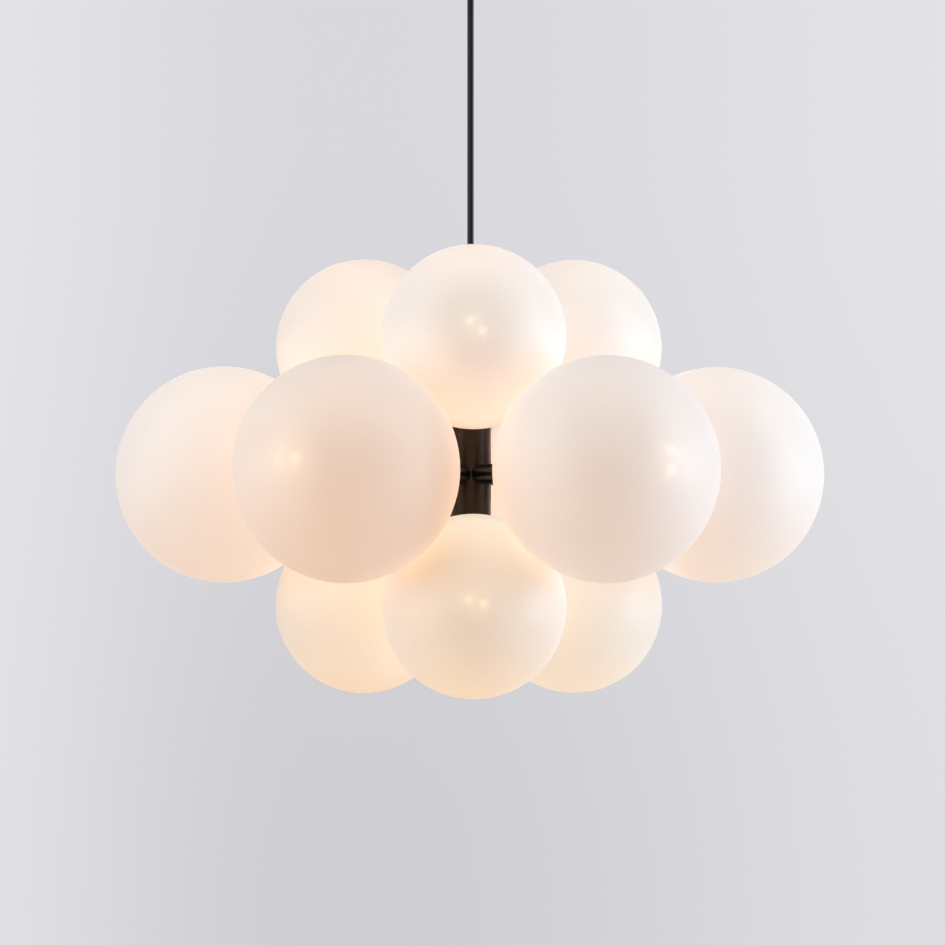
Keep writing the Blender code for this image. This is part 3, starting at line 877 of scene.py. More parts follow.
class Lathe:
    """Draws an outline of radius and height with bmesh operators, then spins it about Z."""

    def __init__(self, radius: float, height: float) -> None:
        """Start the outline.

        Args:
            radius: The first point's distance from the axis.
            height: The first point's place along the axis.
        """
        self.bm = bmesh.new()
        self.first = self.bm.verts.new((radius, 0, height))
        self.last = self.first

    def to(self, radius: float, height: float, parts: int = 1) -> "Lathe":
        """Draw a straight line to a point, in one or more equal parts.

        Args:
            radius: The point's distance from the axis.
            height: The point's place along the axis.
            parts: The number of parts, so that a long face keeps its lighter edge colour, scuffing and
                painted highlight, at its edges.

        Returns:
            The lathe, for the next line.
        """
        begin = self.last.co.copy()
        end = Vector((radius, 0, height))
        for part in range(1, parts + 1):
            there = self.bm.verts.new(begin.lerp(end, part / parts))
            self.bm.edges.new((self.last, there))
            self.last = there
        return self

    def arc(self, radius: float, height: float, sweep: float, steps: int) -> "Lathe":
        """Draw an arc about a centre, from where the outline is now.

        Args:
            radius: The centre's distance from the axis.
            height: The centre's place along the axis.
            sweep: The angle to turn, anticlockwise with the axis upwards and the outline on its right.
            steps: The number of straight lines in the arc.

        Returns:
            The lathe, for the next line.
        """
        made = bmesh.ops.spin(
            self.bm,
            geom=[self.last],
            cent=(radius, 0, height),
            axis=(0, -1, 0),
            angle=sweep,
            steps=steps,
            use_merge=False,
        )
        self.last = next(item for item in made["geom_last"] if isinstance(item, bmesh.types.BMVert))
        return self

    def close(self) -> "Lathe":
        """Join the outline's end to its start, for a piece with a hole through it."""
        self.bm.edges.new((self.last, self.first))
        return self

    def spin(self, steps: int) -> Mesh:
        """Turn the outline about Z.

        Args:
            steps: The number of facets round the axis.

        Returns:
            The closed mesh, with its faces looking out.
        """
        bmesh.ops.spin(
            self.bm,
            geom=self.bm.verts[:] + self.bm.edges[:],
            cent=(0, 0, 0),
            axis=(0, 0, 1),
            angle=2 * math.pi,
            steps=steps,
            use_merge=True,
        )
        bmesh.ops.remove_doubles(self.bm, verts=self.bm.verts, dist=WELD_DISTANCE)
        bmesh.ops.dissolve_degenerate(self.bm, edges=self.bm.edges, dist=WELD_DISTANCE)
        bmesh.ops.recalc_face_normals(self.bm, faces=self.bm.faces)
        return self.bm


def is_sharp(edge: bmesh.types.BMEdge) -> bool:
    """Whether an edge's two faces meet at a sharp angle."""
    return edge.is_manifold and edge.calc_face_angle() > SHARP_ANGLE


def lies_on(edge: bmesh.types.BMEdge, axes: tuple[int, int], radius: float, within: float) -> bool:
    """Whether an edge lies on a cylinder, whose round section is in the plane of two axes."""
    ends = [math.hypot(vert.co[axes[0]], vert.co[axes[1]]) for vert in edge.verts]
    return all(abs(end - radius) < within for end in ends)


def ease(bm: Mesh, edges: list[bmesh.types.BMEdge], width: float) -> None:
    """Round some edges of a mesh.

    Args:
        bm: The mesh.
        edges: The edges.
        width: The bevel's width.
    """
    bmesh.ops.bevel(
        bm,
        geom=edges,
        offset=width,
        affect="EDGES",
        segments=2,
        profile=0.5,
        material=-1,
        clamp_overlap=True,
    )


def knurl(bm: Mesh, low: float, high: float, radius: float, depth: float) -> None:
    """Raise a small pyramid on each face of a turned band.

    Args:
        bm: The turned mesh, with its axis on Z.
        low: The band's lower end.
        high: The band's upper end.
        radius: The band's radius.
        depth: The pyramids' height.
    """
    nearest = radius * 0.9
    band = []
    for face in bm.faces:
        middle = face.calc_center_median()
        if low < middle.z < high and math.hypot(middle.x, middle.y) > nearest:
            band.append(face)
    bmesh.ops.poke(bm, faces=band, offset=depth, center_mode="MEAN", use_relative_offset=False)


def as_object(name: str, bm: Mesh, finish: Material, place: Matrix = Matrix()) -> Thing:
    """Turn a bmesh into a smooth-shaded object whose place is in its mesh.

    Args:
        name: The object's name.
        bm: The mesh, which is freed.
        finish: Its material.
        place: From the mesh's own frame to the part's.

    Returns:
        The object.
    """
    bmesh.ops.transform(bm, matrix=place, verts=bm.verts)
    mesh = bpy.data.meshes.new(name)
    bm.to_mesh(mesh)
    bm.free()
    mesh.shade_smooth()
    mesh.set_sharp_from_angle(angle=SHARP_ANGLE)
    mesh.materials.append(finish)
    made = bpy.data.objects.new(name, mesh)
    bpy.context.scene.collection.objects.link(made)
    return made


def cut(body: Mesh, tools: Sequence[Mesh], operation: str = "DIFFERENCE") -> Mesh:
    """Cut tools from a body, or join them to it.

    Args:
        body: The mesh to change, which is freed.
        tools: The cutters, which are freed.
        operation: DIFFERENCE or UNION.

    Returns:
        The new mesh.
    """
    holders = []
    for index, bm in enumerate((body, *tools)):
        mesh = bpy.data.meshes.new(f"cut_{index}")
        bm.to_mesh(mesh)
        bm.free()
        holder = bpy.data.objects.new(f"cut_{index}", mesh)
        bpy.context.scene.collection.objects.link(holder)
        holders.append(holder)
    main_holder = holders[0]
    for tool in holders[1:]:
        change = main_holder.modifiers.new("cut", "BOOLEAN")
        change.operation = operation
        change.solver = "EXACT"
        change.object = tool
    bpy.context.view_layer.update()
    changed = main_holder.evaluated_get(bpy.context.evaluated_depsgraph_get())
    result = bpy.data.meshes.new_from_object(changed)
    bm = bmesh.new()
    bm.from_mesh(result)
    for holder in holders:
        mesh = holder.data
        bpy.data.objects.remove(holder)
        bpy.data.meshes.remove(mesh)
    bpy.data.meshes.remove(result)
    return bm


def rod(radius: float, low: float, high: float, steps: int, place: Matrix = Matrix()) -> Mesh:
    """Make a plain round bar along Z and move it to its place.

    Args:
        radius: Its radius.
        low: Its lower end.
        high: Its upper end.
        steps: The number of facets round it.
        place: From its own frame to the piece's.

    Returns:
        The bar's mesh.
    """
    bm = bmesh.new()
    stand = place @ Matrix.Translation((0, 0, (low + high) / 2))
    bmesh.ops.create_cone(
        bm, cap_ends=True, segments=steps, radius1=radius, radius2=radius, depth=high - low, matrix=stand
    )
    return bm


def stands_for(piece: Thing, body: str, node: str) -> None:
    """Make a piece ride on a body and stand for a CAD node.

    Args:
        piece: The dressed piece.
        body: The body that it moves with.
        node: The node that it replaces.
    """
    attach(piece, body)
    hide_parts(node)
    LOG.info("%s rides on %s and stands for %s", piece.name, body, node)


# Sub-assemblies


@dataclass
class OpalGlobe:
    """One blown opal globe with its ground neck."""

    tier: TierPlace
    number: int
    finishes: FinishSet
    half_steps: int = 26
    round_steps: int = 88
    fillet: float = 0.004
    fillet_steps: int = 5
    rim_round: float = 0.0006
    pale_bulb: Colour = (0.95, 1.05, 1.38)
    warm_bulb: Colour = (1.05, 0.82, 0.63)
    # Painted warm light on the undersides, scaled by each globe's share.
    painted_underside_light: Colour = (0.180, 0.095, 0.020)

    def outline(self) -> Lathe:
        """Draw the outside, the rim, the bore and the inside.

        Returns:
            The lathe with the outline.
        """
        radius = self.tier.globe_radius
        centre = self.tier.radius
        inside = radius - FITS.glass_wall
        rim = centre - self.tier.neck_root() - FITS.neck_height
        fillet_r = FITS.neck_radius + self.fillet
        fillet_z = centre - math.sqrt((radius + self.fillet) ** 2 - fillet_r**2)
        meet = math.atan2(fillet_z - centre, fillet_r)
        bore_top = centre - math.sqrt(inside**2 - FITS.neck_bore**2)
        begin = math.atan2(bore_top - centre, FITS.neck_bore)
        lathe = Lathe(0, centre + radius)
        lathe.arc(0, centre, -QUARTER_TURN, self.half_steps)
        lathe.arc(0, centre, meet, self.half_steps)
        lathe.arc(fillet_r, fillet_z, -meet, self.fillet_steps)
        lathe.to(FITS.neck_radius, rim + self.rim_round)
        lathe.to(FITS.neck_radius - self.rim_round, rim)
        lathe.to(FITS.neck_bore + self.rim_round, rim)
        lathe.to(FITS.neck_bore, rim + self.rim_round)
        lathe.to(FITS.neck_bore, bore_top)
        lathe.arc(0, centre, -begin, self.half_steps)
        lathe.arc(0, centre, QUARTER_TURN, self.half_steps)
        return lathe

    def mark(self, bm: Mesh) -> None:
        """Give every point of the glass the attributes that its glow reads, among them painted light and
        shade on the globe's top and underside.

        Args:
            bm: The globe's mesh, in the head's own frame.
        """
        vectors = bm.verts.layers.float_vector
        place = vectors.new(GlobeMark.PLACE.value)
        turn = bm.verts.layers.float.new(GlobeMark.TURN.value)
        tint = vectors.new(GlobeMark.TINT.value)
        rim = vectors.new(GlobeMark.PAINTED_TOP_UNDERSIDE_LIGHT.value)
        index = self.number - 1
        centre = Vector((0, 0, self.tier.radius))
        to_part = self.tier.matrix(self.number).to_3x3()
        bulb = Vector(self.pale_bulb).lerp(Vector(self.warm_bulb), self.tier.warmth_shares[index])
        low = Vector(self.painted_underside_light) * self.tier.painted_underside_light_shares[index]
        high = Vector(self.tier.painted_top_lights[index])
        for vert in bm.verts:
            outward = vert.co - centre
            up = (to_part @ outward.normalized()).z
            vert[place] = outward / self.tier.globe_radius
            vert[turn] = self.tier.bulb_turns[index]
            vert[tint] = bulb * Vector(self.tier.tint)
            # Painted light and shade: the top's painted light above the middle, the underside's painted warm
            # light below it, strongest straight up and straight down.
            vert[rim] = (high if up > 0 else low) * up**2

    def build(self) -> None:
        """Make the globe."""
        tag = self.tier.tag(self.number)
        bm = self.outline().spin(self.round_steps)
        self.mark(bm)
        matrix = self.tier.matrix(self.number)
        globe = as_object(f"opal_globe_{tag}", bm, self.finishes.of(Slot.OPAL), matrix)
        stands_for(globe, f"globe_{tag}", f"globe_{tag}")


@dataclass
class HollowArm:
    """One coped arm with its fitter plate and threaded boss."""

    tier: TierPlace
    number: int
    finishes: FinishSet
    steps: int = 56
    fillet: float = 0.002
    fillet_steps: int = 6
    ring_gap: float = 0.003
    plate: float = 0.0025
    plate_radius: float = 0.0245
    plate_edge: float = 0.00035
    boss_length: float = 0.009
    thread_pitch: float = 0.0015
    thread_depth: float = 0.0004
    spigot_depth: float = 0.0075
    spigot_overlap: float = 0.003
    spigot_steps: int = 24
    bore_steps: int = 20
    cope_steps: int = 128
    cope_width_share: float = 1.3
    cope_edge: float = 0.0009
    edge_within: float = 0.00002
    bar_within: float = 0.0001

    def blank(self) -> Mesh:
        """Make the arm before it is coped: bar, flare, plate and threaded boss.

        Returns:
            The arm's mesh, in the head's own frame.
        """
        front = self.tier.fitter_front()
        back = front - self.plate
        crest = FITS.neck_bore - FITS.thread_gap
        root = crest - self.thread_depth
        end = front + self.boss_length
        radius = FITS.arm_radius
        lathe = Lathe(0, FITS.column_radius - self.spigot_depth)
        lathe.to(radius, FITS.column_radius - self.spigot_depth)
        length = back - self.fillet - FITS.column_radius + self.spigot_depth
        lathe.to(radius, back - self.fillet, max(2, round(length / self.ring_gap)))
        lathe.arc(radius + self.fillet, back - self.fillet, -QUARTER_TURN, self.fillet_steps)
        lathe.to(self.plate_radius, back).to(self.plate_radius, front).to(root, front)
        turns = int((self.boss_length - self.thread_pitch) / self.thread_pitch)
        for turn in range(turns):
            low = front + self.thread_pitch * (turn + 0.5)
            lathe.to(crest, low + self.thread_pitch / 2).to(root, low + self.thread_pitch)
        lathe.to(root, end).to(0, end)
        bm = lathe.spin(self.steps)
        rims = [edge for edge in bm.edges if lies_on(edge, (0, 1), self.plate_radius, self.edge_within)]
        ease(bm, [edge for edge in rims if is_sharp(edge)], self.plate_edge)
        return bm

    def ease_cope(self, bm: Mesh) -> None:
        """Ease the long edge that the cope leaves round the arm.

        Args:
            bm: The coped arm.
        """
        seat = FITS.column_radius + FITS.seat_gap
        lip = [
            edge
            for edge in bm.edges
            if edge.is_manifold
            and lies_on(edge, (0, 2), seat, self.edge_within)
            and lies_on(edge, (0, 1), FITS.arm_radius, self.bar_within)
        ]
        LOG.info("cope edge of %d lines eased", len(lip))
        # The eased edge takes the bronze's painted edge highlight.
        ease(bm, lip, self.cope_edge)

    def build(self) -> None:
        """Cope the arm round the column, add its spigot and bore it."""
        reach = FITS.arm_radius * self.cope_width_share
        across = Matrix.Rotation(QUARTER_TURN, 4, "X")
        cope = rod(FITS.column_radius + FITS.seat_gap, -reach, reach, self.cope_steps, across)
        inner = FITS.column_radius - self.spigot_depth
        outer = FITS.column_radius + self.spigot_overlap
        spigot = rod(FITS.spigot_radius, inner, outer, self.spigot_steps)
        bore_end = self.tier.fitter_front() + self.boss_length + self.plate
        bore = rod(FITS.wire_bore, inner - OVERRUN, bore_end, self.bore_steps)
        bm = cut(cut(cut(self.blank(), [cope]), [spigot], "UNION"), [bore])
        self.ease_cope(bm)
        tag = self.tier.tag(self.number)
        matrix = self.tier.matrix(self.number)
        arm = as_object(f"coped_arm_{tag}", bm, self.finishes.of(Slot.BRONZE), matrix)
        stands_for(arm, Body.FIXTURE.value, f"arm_{tag}")


@dataclass
class HubColumn:
    """The column tube with the caps of its two end hubs."""

    finishes: FinishSet
    steps: int = 96
    rings: int = 56
    edge: float = 0.0003
    hole_steps: int = 24
    cap: float = 0.003
    cap_round: float = 0.001
    cap_round_steps: int = 5
    hub_reach: float = 0.009
    finial_radius: float = 0.009
    finial_height: float = 0.006
    finial_steps: int = 12

    def holes(self, tiers: Iterable[TierPlace], inner: float) -> list[Mesh]:
        """Make the cutters for the spigots' holes.

        Args:
            tiers: The tiers whose arms the piece takes.
            inner: Where the holes start, from the axis.

        Returns:
            One cutter for each arm.
        """
        radius = FITS.spigot_radius + FITS.seat_gap
        outer = FITS.column_radius + OVERRUN
        matrices = [tier.matrix(number) for tier in tiers for number in tier.numbers()]
        return [rod(radius, inner, outer, self.hole_steps, matrix) for matrix in matrices]

    def keep(self, name: str, bm: Mesh, node: str) -> None:
        """Finish a piece of the column."""
        piece = as_object(name, bm, self.finishes.of(Slot.BRONZE))
        stands_for(piece, Body.FIXTURE.value, node)

    def tube(self) -> None:
        """Make the pierced tube."""
        inside = FITS.column_radius - FITS.column_wall
        lathe = Lathe(FITS.column_radius, FITS.column_top)
        lathe.to(FITS.column_radius, FITS.column_bottom, self.rings).to(inside, FITS.column_bottom)
        lathe.to(inside, FITS.column_top).close()
        bm = lathe.spin(self.steps)
        ease(bm, [edge for edge in bm.edges if is_sharp(edge)], self.edge)
        self.keep("column_tube", cut(bm, self.holes(TIERS, inside - OVERRUN)), "column")

    def top_hub(self) -> None:
        """Make the top plug and cap, bored for the grip."""
        bore = FITS.grip_spigot + FITS.seat_gap
        plug = FITS.column_radius - FITS.column_wall - FITS.seat_gap
        round_r = FITS.column_radius - self.cap_round
        seat = FITS.column_top + FITS.seat_gap
        cap = seat + self.cap
        low = UPPER.height - self.hub_reach
        lathe = Lathe(bore, cap).to(round_r, cap)
        lathe.arc(round_r, cap - self.cap_round, -QUARTER_TURN, self.cap_round_steps)
        lathe.to(FITS.column_radius, seat).to(plug, seat).to(plug, low).to(bore, low).close()
        bm = cut(lathe.spin(self.steps), self.holes([UPPER], FITS.grip_spigot))
        self.keep("top_hub_turned", bm, "top_hub")

    def bottom_hub(self) -> None:
        """Make the bottom plug, cap and low domed finial."""
        bore = FITS.grip_spigot + FITS.seat_gap
        plug = FITS.column_radius - FITS.column_wall - FITS.seat_gap
        round_r = FITS.column_radius - self.cap_round
        seat = FITS.column_bottom - FITS.seat_gap
        cap = seat - self.cap
        low, high = LOWER.height - self.hub_reach, LOWER.height + self.hub_reach
        dome = (self.finial_radius**2 + self.finial_height**2) / (2 * self.finial_height)
        half = math.asin(self.finial_radius / dome)
        lathe = Lathe(0, low).to(bore, low).to(bore, high).to(plug, high).to(plug, seat)
        lathe.to(FITS.column_radius, seat).to(FITS.column_radius, cap + self.cap_round)
        lathe.arc(round_r, cap + self.cap_round, -QUARTER_TURN, self.cap_round_steps)
        lathe.to(self.finial_radius, cap)
        lathe.arc(0, cap - self.finial_height + dome, -half, self.finial_steps)
        bm = cut(lathe.spin(self.steps), self.holes([LOWER], FITS.grip_spigot))
        self.keep("bottom_hub_turned", bm, "bottom_hub")

    def build(self) -> None:
        """Make the tube and the end hubs."""
        self.tube()
        self.top_hub()
        self.bottom_hub()


@dataclass
class CableGrip:
    """The tapered grip that the cable ends in, with a knurled collar and a rounded mouth."""

    finishes: FinishSet
    steps: int = 48
    height: float = 0.028
    base: float = 0.010
    tip: float = 0.0052
    tip_round: float = 0.0005
    tip_steps: int = 3
    mouth_round: float = 0.0006
    mouth_steps: int = 4
    socket_depth: float = 0.012
    spigot_length: float = 0.006
    collar: float = 0.006
    collar_edge: float = 0.0008
    shoulder: float = 0.0012
    band_inset: float = 0.0003
    band_gap: float = 0.0004
    band_rings: int = 4
    knurl_depth: float = 0.0002

    def build(self) -> None:
        """Turn the grip and knurl its collar."""
        socket = FITS.cord_radius + FITS.seat_gap
        hole = FITS.cord_wire_hole
        top = FITS.cord_bottom - FITS.seat_gap + self.socket_depth
        floor = top - self.socket_depth
        low = top - self.height
        collar = low + self.collar
        foot = low - self.spigot_length
        edge_r = self.base - self.collar_edge
        tip_r = self.tip - self.tip_round
        band = self.base - self.band_inset
        band_low, band_high = low + self.collar_edge, collar - self.band_gap
        lathe = Lathe(socket, top - self.mouth_round)
        lathe.arc(socket + self.mouth_round, top - self.mouth_round, -QUARTER_TURN, self.mouth_steps)
        lathe.to(tip_r, top).arc(tip_r, top - self.tip_round, -QUARTER_TURN, self.tip_steps)
        lathe.to(self.base - self.shoulder, collar + self.collar_edge).to(edge_r, collar)
        lathe.to(band, band_high).to(band, band_low, self.band_rings).to(edge_r, low)
        lathe.to(FITS.grip_spigot, low).to(FITS.grip_spigot, foot).to(hole, foot)
        lathe.to(hole, floor).to(socket, floor).close()
        bm = lathe.spin(self.steps)
        knurl(bm, band_low, band_high, band, self.knurl_depth)
        grip = as_object("cable_grip", bm, self.finishes.of(Slot.BRONZE))
        stands_for(grip, Body.FIXTURE.value, "cord_grip")


@dataclass
class HangingCable:
    """The sheathed cable, held straight between the moulded ceiling bush and the grip."""

    finishes: FinishSet
    points: int = 17
    bevel_resolution: int = 8
    bush_steps: int = 56
    nose: float = 0.005
    barb: float = 0.0068
    barb_height: float = 0.003
    flange: float = 0.0095
    flange_height: float = 0.002
    flange_round: float = 0.0006
    flange_steps: int = 4
    tip: float = 0.0065
    tip_edge: float = 0.0005
    tip_edge_height: float = 0.0012
    drop: float = 0.016
    sway: float = math.radians(12)

    def cable(self) -> Thing:
        """Make the round cable.

        Returns:
            The cable, as a curve.
        """
        curve = bpy.data.curves.new("sheathed_cable", "CURVE")
        curve.dimensions = "3D"
        curve.bevel_depth = FITS.cord_radius
        curve.bevel_resolution = self.bevel_resolution
        curve.use_fill_caps = True
        spline = curve.splines.new("POLY")
        spline.points.add(self.points - 1)
        for index, point in enumerate(spline.points):
            share = index / (self.points - 1)
            point.co = (0, 0, FITS.cord_bottom + share * (FITS.cord_top - FITS.cord_bottom), 1)
        curve.materials.append(self.finishes.of(Slot.SHEATH))
        cable = bpy.data.objects.new("sheathed_cable", curve)
        bpy.context.scene.collection.objects.link(cable)
        stands_for(cable, Body.CABLE.value, "cord")
        return cable

    def bush(self) -> Thing:
        """Make the moulded bush, whose flared mouth lets the cable sway.

        Returns:
            The bush.
        """
        canopy_floor = -FITS.canopy_depth
        neck_top = canopy_floor + FITS.canopy_wall + FITS.seat_gap
        barb_top = neck_top + self.barb_height
        nose_top = barb_top + self.nose
        seat = canopy_floor - FITS.seat_gap
        mouth_z = canopy_floor - self.drop
        round_r = self.flange - self.flange_round
        hole = FITS.cord_wire_hole
        throat = FITS.cord_radius + FITS.seat_gap
        throat_top = FITS.cord_top + FITS.cord_radius * math.sin(self.sway) + FITS.seat_gap
        mouth = throat / math.cos(self.sway) + (FITS.cord_top - mouth_z) * math.tan(self.sway)
        lathe = Lathe(hole, nose_top).to(FITS.bush_neck - FITS.seat_gap, nose_top)
        lathe.to(self.barb, barb_top).to(self.barb, neck_top).to(FITS.bush_neck, neck_top)
        lathe.to(FITS.bush_neck, seat).to(round_r, seat)
        lathe.arc(round_r, seat - self.flange_round, -QUARTER_TURN, self.flange_steps)
        lathe.to(self.flange, seat - self.flange_height)
        lathe.to(self.tip + self.tip_edge, mouth_z + self.tip_edge_height).to(self.tip, mouth_z)
        lathe.to(mouth, mouth_z).to(throat, FITS.cord_top).to(throat, throat_top)
        lathe.to(hole, throat_top).close()
        bush = as_object("moulded_bush", lathe.spin(self.bush_steps), self.finishes.of(Slot.BUSH))
        stands_for(bush, Body.CEILING.value, "canopy_bush")
        return bush

    def build(self) -> None:
        self.cable()
        self.bush()


@dataclass
class CeilingFitting:
    """The canopy, its thumb screws and the ceiling plate."""

    finishes: FinishSet
    steps: int = 128
    radius: float = 0.060
    canopy_edge: float = 0.0002
    corner: float = 0.005
    corner_steps: int = 8
    side_rings: int = 6
    floor_rings: int = 10
    rim_gap: float = 0.0005
    plate: float = 0.002
    plate_round: float = 0.0008
    plate_round_steps: int = 4
    plate_rings: int = 12
    lip: float = 0.010
    slip: float = 0.0005
    wire_hole: float = 0.007
    wire_hole_back: float = 0.024
    wire_hole_steps: int = 40
    slot_radius: float = 0.0025
    slot_half: float = 0.0045
    slot_place: float = 0.036
    slot_steps: int = 24
    screw: float = 0.0019
    screw_tip: float = 0.0015
    screw_chamfer: float = 0.0003
    screw_steps: int = 32
    screw_hole_steps: int = 20
    head: float = 0.004
    head_length: float = 0.005
    head_edge: float = 0.0008
    head_foot: float = 0.0006
    band_inset: float = 0.0002
    band_gap: float = 0.0004
    band_rings: int = 4
    knurl_depth: float = 0.0002

    def side(self, sign: int) -> Matrix:
        """From a side screw's own frame, with +Z outwards, to the part's."""
        height = -(self.plate + self.lip) / 2
        return Matrix.Translation((0, 0, height)) @ Matrix.Rotation(sign * QUARTER_TURN, 4, "Y")

    def screw_holes(self, inner: float, outer: float) -> list[Mesh]:
        """Cutters for the two side screws."""
        radius = self.screw + FITS.seat_gap
        return [rod(radius, inner, outer, self.screw_hole_steps, self.side(sign)) for sign in (-1, 1)]

    def plate_holes(self) -> list[Mesh]:
        """Make the cutters for the plate's wire hole and its two slots.

        Returns:
            The cutters.
        """
        low = -self.plate - OVERRUN
        back = Matrix.Translation((0, self.wire_hole_back, 0))
        made = [rod(self.wire_hole, low, OVERRUN, self.wire_hole_steps, back)]
        half_facet = Matrix.Rotation(math.pi / self.slot_steps, 4, "Z")
        for sign in (-1, 1):
            slot = rod(self.slot_radius, low, OVERRUN, self.slot_steps, half_facet)
            for vert in slot.verts:
                vert.co.x += math.copysign(self.slot_half, vert.co.x) + sign * self.slot_place
            made.append(slot)
        return made

    def canopy(self) -> None:
        """Make the drawn cup with its rounded lower edge."""
        hole = FITS.bush_neck + FITS.seat_gap
        inside = self.radius - FITS.canopy_wall
        floor = -FITS.canopy_depth
        inner_floor = floor + FITS.canopy_wall
        corner_r = self.radius - self.corner
        corner_z = floor + self.corner
        lathe = Lathe(inside, -self.rim_gap).to(self.radius, -self.rim_gap)
        lathe.to(self.radius, corner_z, self.side_rings)
        lathe.arc(corner_r, corner_z, -QUARTER_TURN, self.corner_steps)
        lathe.to(hole, floor, self.floor_rings).to(hole, inner_floor).to(corner_r, inner_floor)
        lathe.arc(corner_r, corner_z, QUARTER_TURN, self.corner_steps).close()
        bm = lathe.spin(self.steps)
        ease(bm, [edge for edge in bm.edges if is_sharp(edge)], self.canopy_edge)
        bm = cut(bm, self.screw_holes(inside - OVERRUN, self.radius + OVERRUN))
        cup = as_object("canopy_cup", bm, self.finishes.of(Slot.BRONZE))
        stands_for(cup, Body.CEILING.value, "canopy")

    def ceiling_plate(self) -> None:
        """Make the pressed plate with its lip, wire hole and slots."""
        radius = self.radius - FITS.canopy_wall - self.slip
        inside = radius - self.plate
        round_r = radius - self.plate_round
        lathe = Lathe(0, 0).to(round_r, 0, self.plate_rings)
        lathe.arc(round_r, -self.plate_round, -QUARTER_TURN, self.plate_round_steps)
        lathe.to(radius, -self.lip).to(inside, -self.lip).to(inside, -self.plate).to(0, -self.plate)
        tools = self.screw_holes(inside - OVERRUN, radius + OVERRUN) + self.plate_holes()
        bm = cut(lathe.spin(self.steps), tools)
        plate = as_object("pressed_plate", bm, self.finishes.of(Slot.PLATE_STEEL))
        stands_for(plate, Body.CEILING.value, "ceiling_plate")

    def thumb_screw(self, name: str, sign: int) -> None:
        """Make one thumb screw with a knurled head.

        Args:
            name: Its side, as its names say it.
            sign: Its side, as -1 or 1 along X.
        """
        tip = self.radius - FITS.canopy_wall - self.slip - self.plate - self.screw_tip
        seat = self.radius + FITS.seat_gap
        end = seat + self.head_length
        band = self.head - self.band_inset
        band_low, band_high = seat + self.band_gap, end - self.head_edge
        lathe = Lathe(0, tip).to(self.screw - self.screw_chamfer, tip)
        lathe.to(self.screw, tip + self.screw_chamfer).to(self.screw, seat)
        lathe.to(self.head - self.head_foot, seat).to(band, band_low)
        lathe.to(band, band_high, self.band_rings).to(self.head - self.head_edge, end).to(0, end)
        bm = lathe.spin(self.screw_steps)
        knurl(bm, band_low, band_high, band, self.knurl_depth)
        screw = as_object(f"thumb_screw_{name}", bm, self.finishes.of(Slot.BRONZE), self.side(sign))
        stands_for(screw, Body.CEILING.value, f"canopy_screw_{name}")

    def build(self) -> None:
        """Make all the ceiling pieces."""
        self.canopy()
        self.ceiling_plate()
        self.thumb_screw("left", -1)
        self.thumb_screw("right", 1)


@dataclass
class HiddenPieces:
    """CAD nodes that keep their shape and get a better material."""

    finishes: FinishSet

    def dress(self, node: str, slot: Slot) -> None:
        """Give a CAD node's slots a material.

        Args:
            node: The node's name.
            slot: The slot whose material it gets.
        """
        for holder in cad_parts[node].material_slots:
            holder.material = self.finishes.of(slot)
        LOG.info("%s keeps its solid", node)

    def build(self) -> None:
        """Dress the holders, bulbs, ring hub and terminal block."""
        for tier in TIERS:
            for number in tier.numbers():
                self.dress(f"lampholder_{tier.tag(number)}", Slot.CERAMIC)
                self.dress(f"bulb_{tier.tag(number)}", Slot.BULB)
        self.dress("middle_hub", Slot.HUB_STEEL)
        self.dress("terminal_block", Slot.BLOCK)


# Studio


@dataclass(frozen=True)
class SoftBox:
    """A square area light that looks at a point."""

    name: str
    place: Numbers
    power: float
    colour: Colour
    size: float = 1.6

    def build(self, target: Vector) -> None:
        """Make the light.

        Args:
            target: The point that it looks at.
        """
        light = bpy.data.lights.new(self.name, "AREA")
        light.energy = self.power
        light.size = self.size
        light.color = self.colour
        made = bpy.data.objects.new(self.name, light)
        bpy.context.scene.collection.objects.link(made)
        made.location = self.place
        made.rotation_euler = (target - Vector(self.place)).to_track_quat("-Z", "Y").to_euler()
        made.visible_camera = False


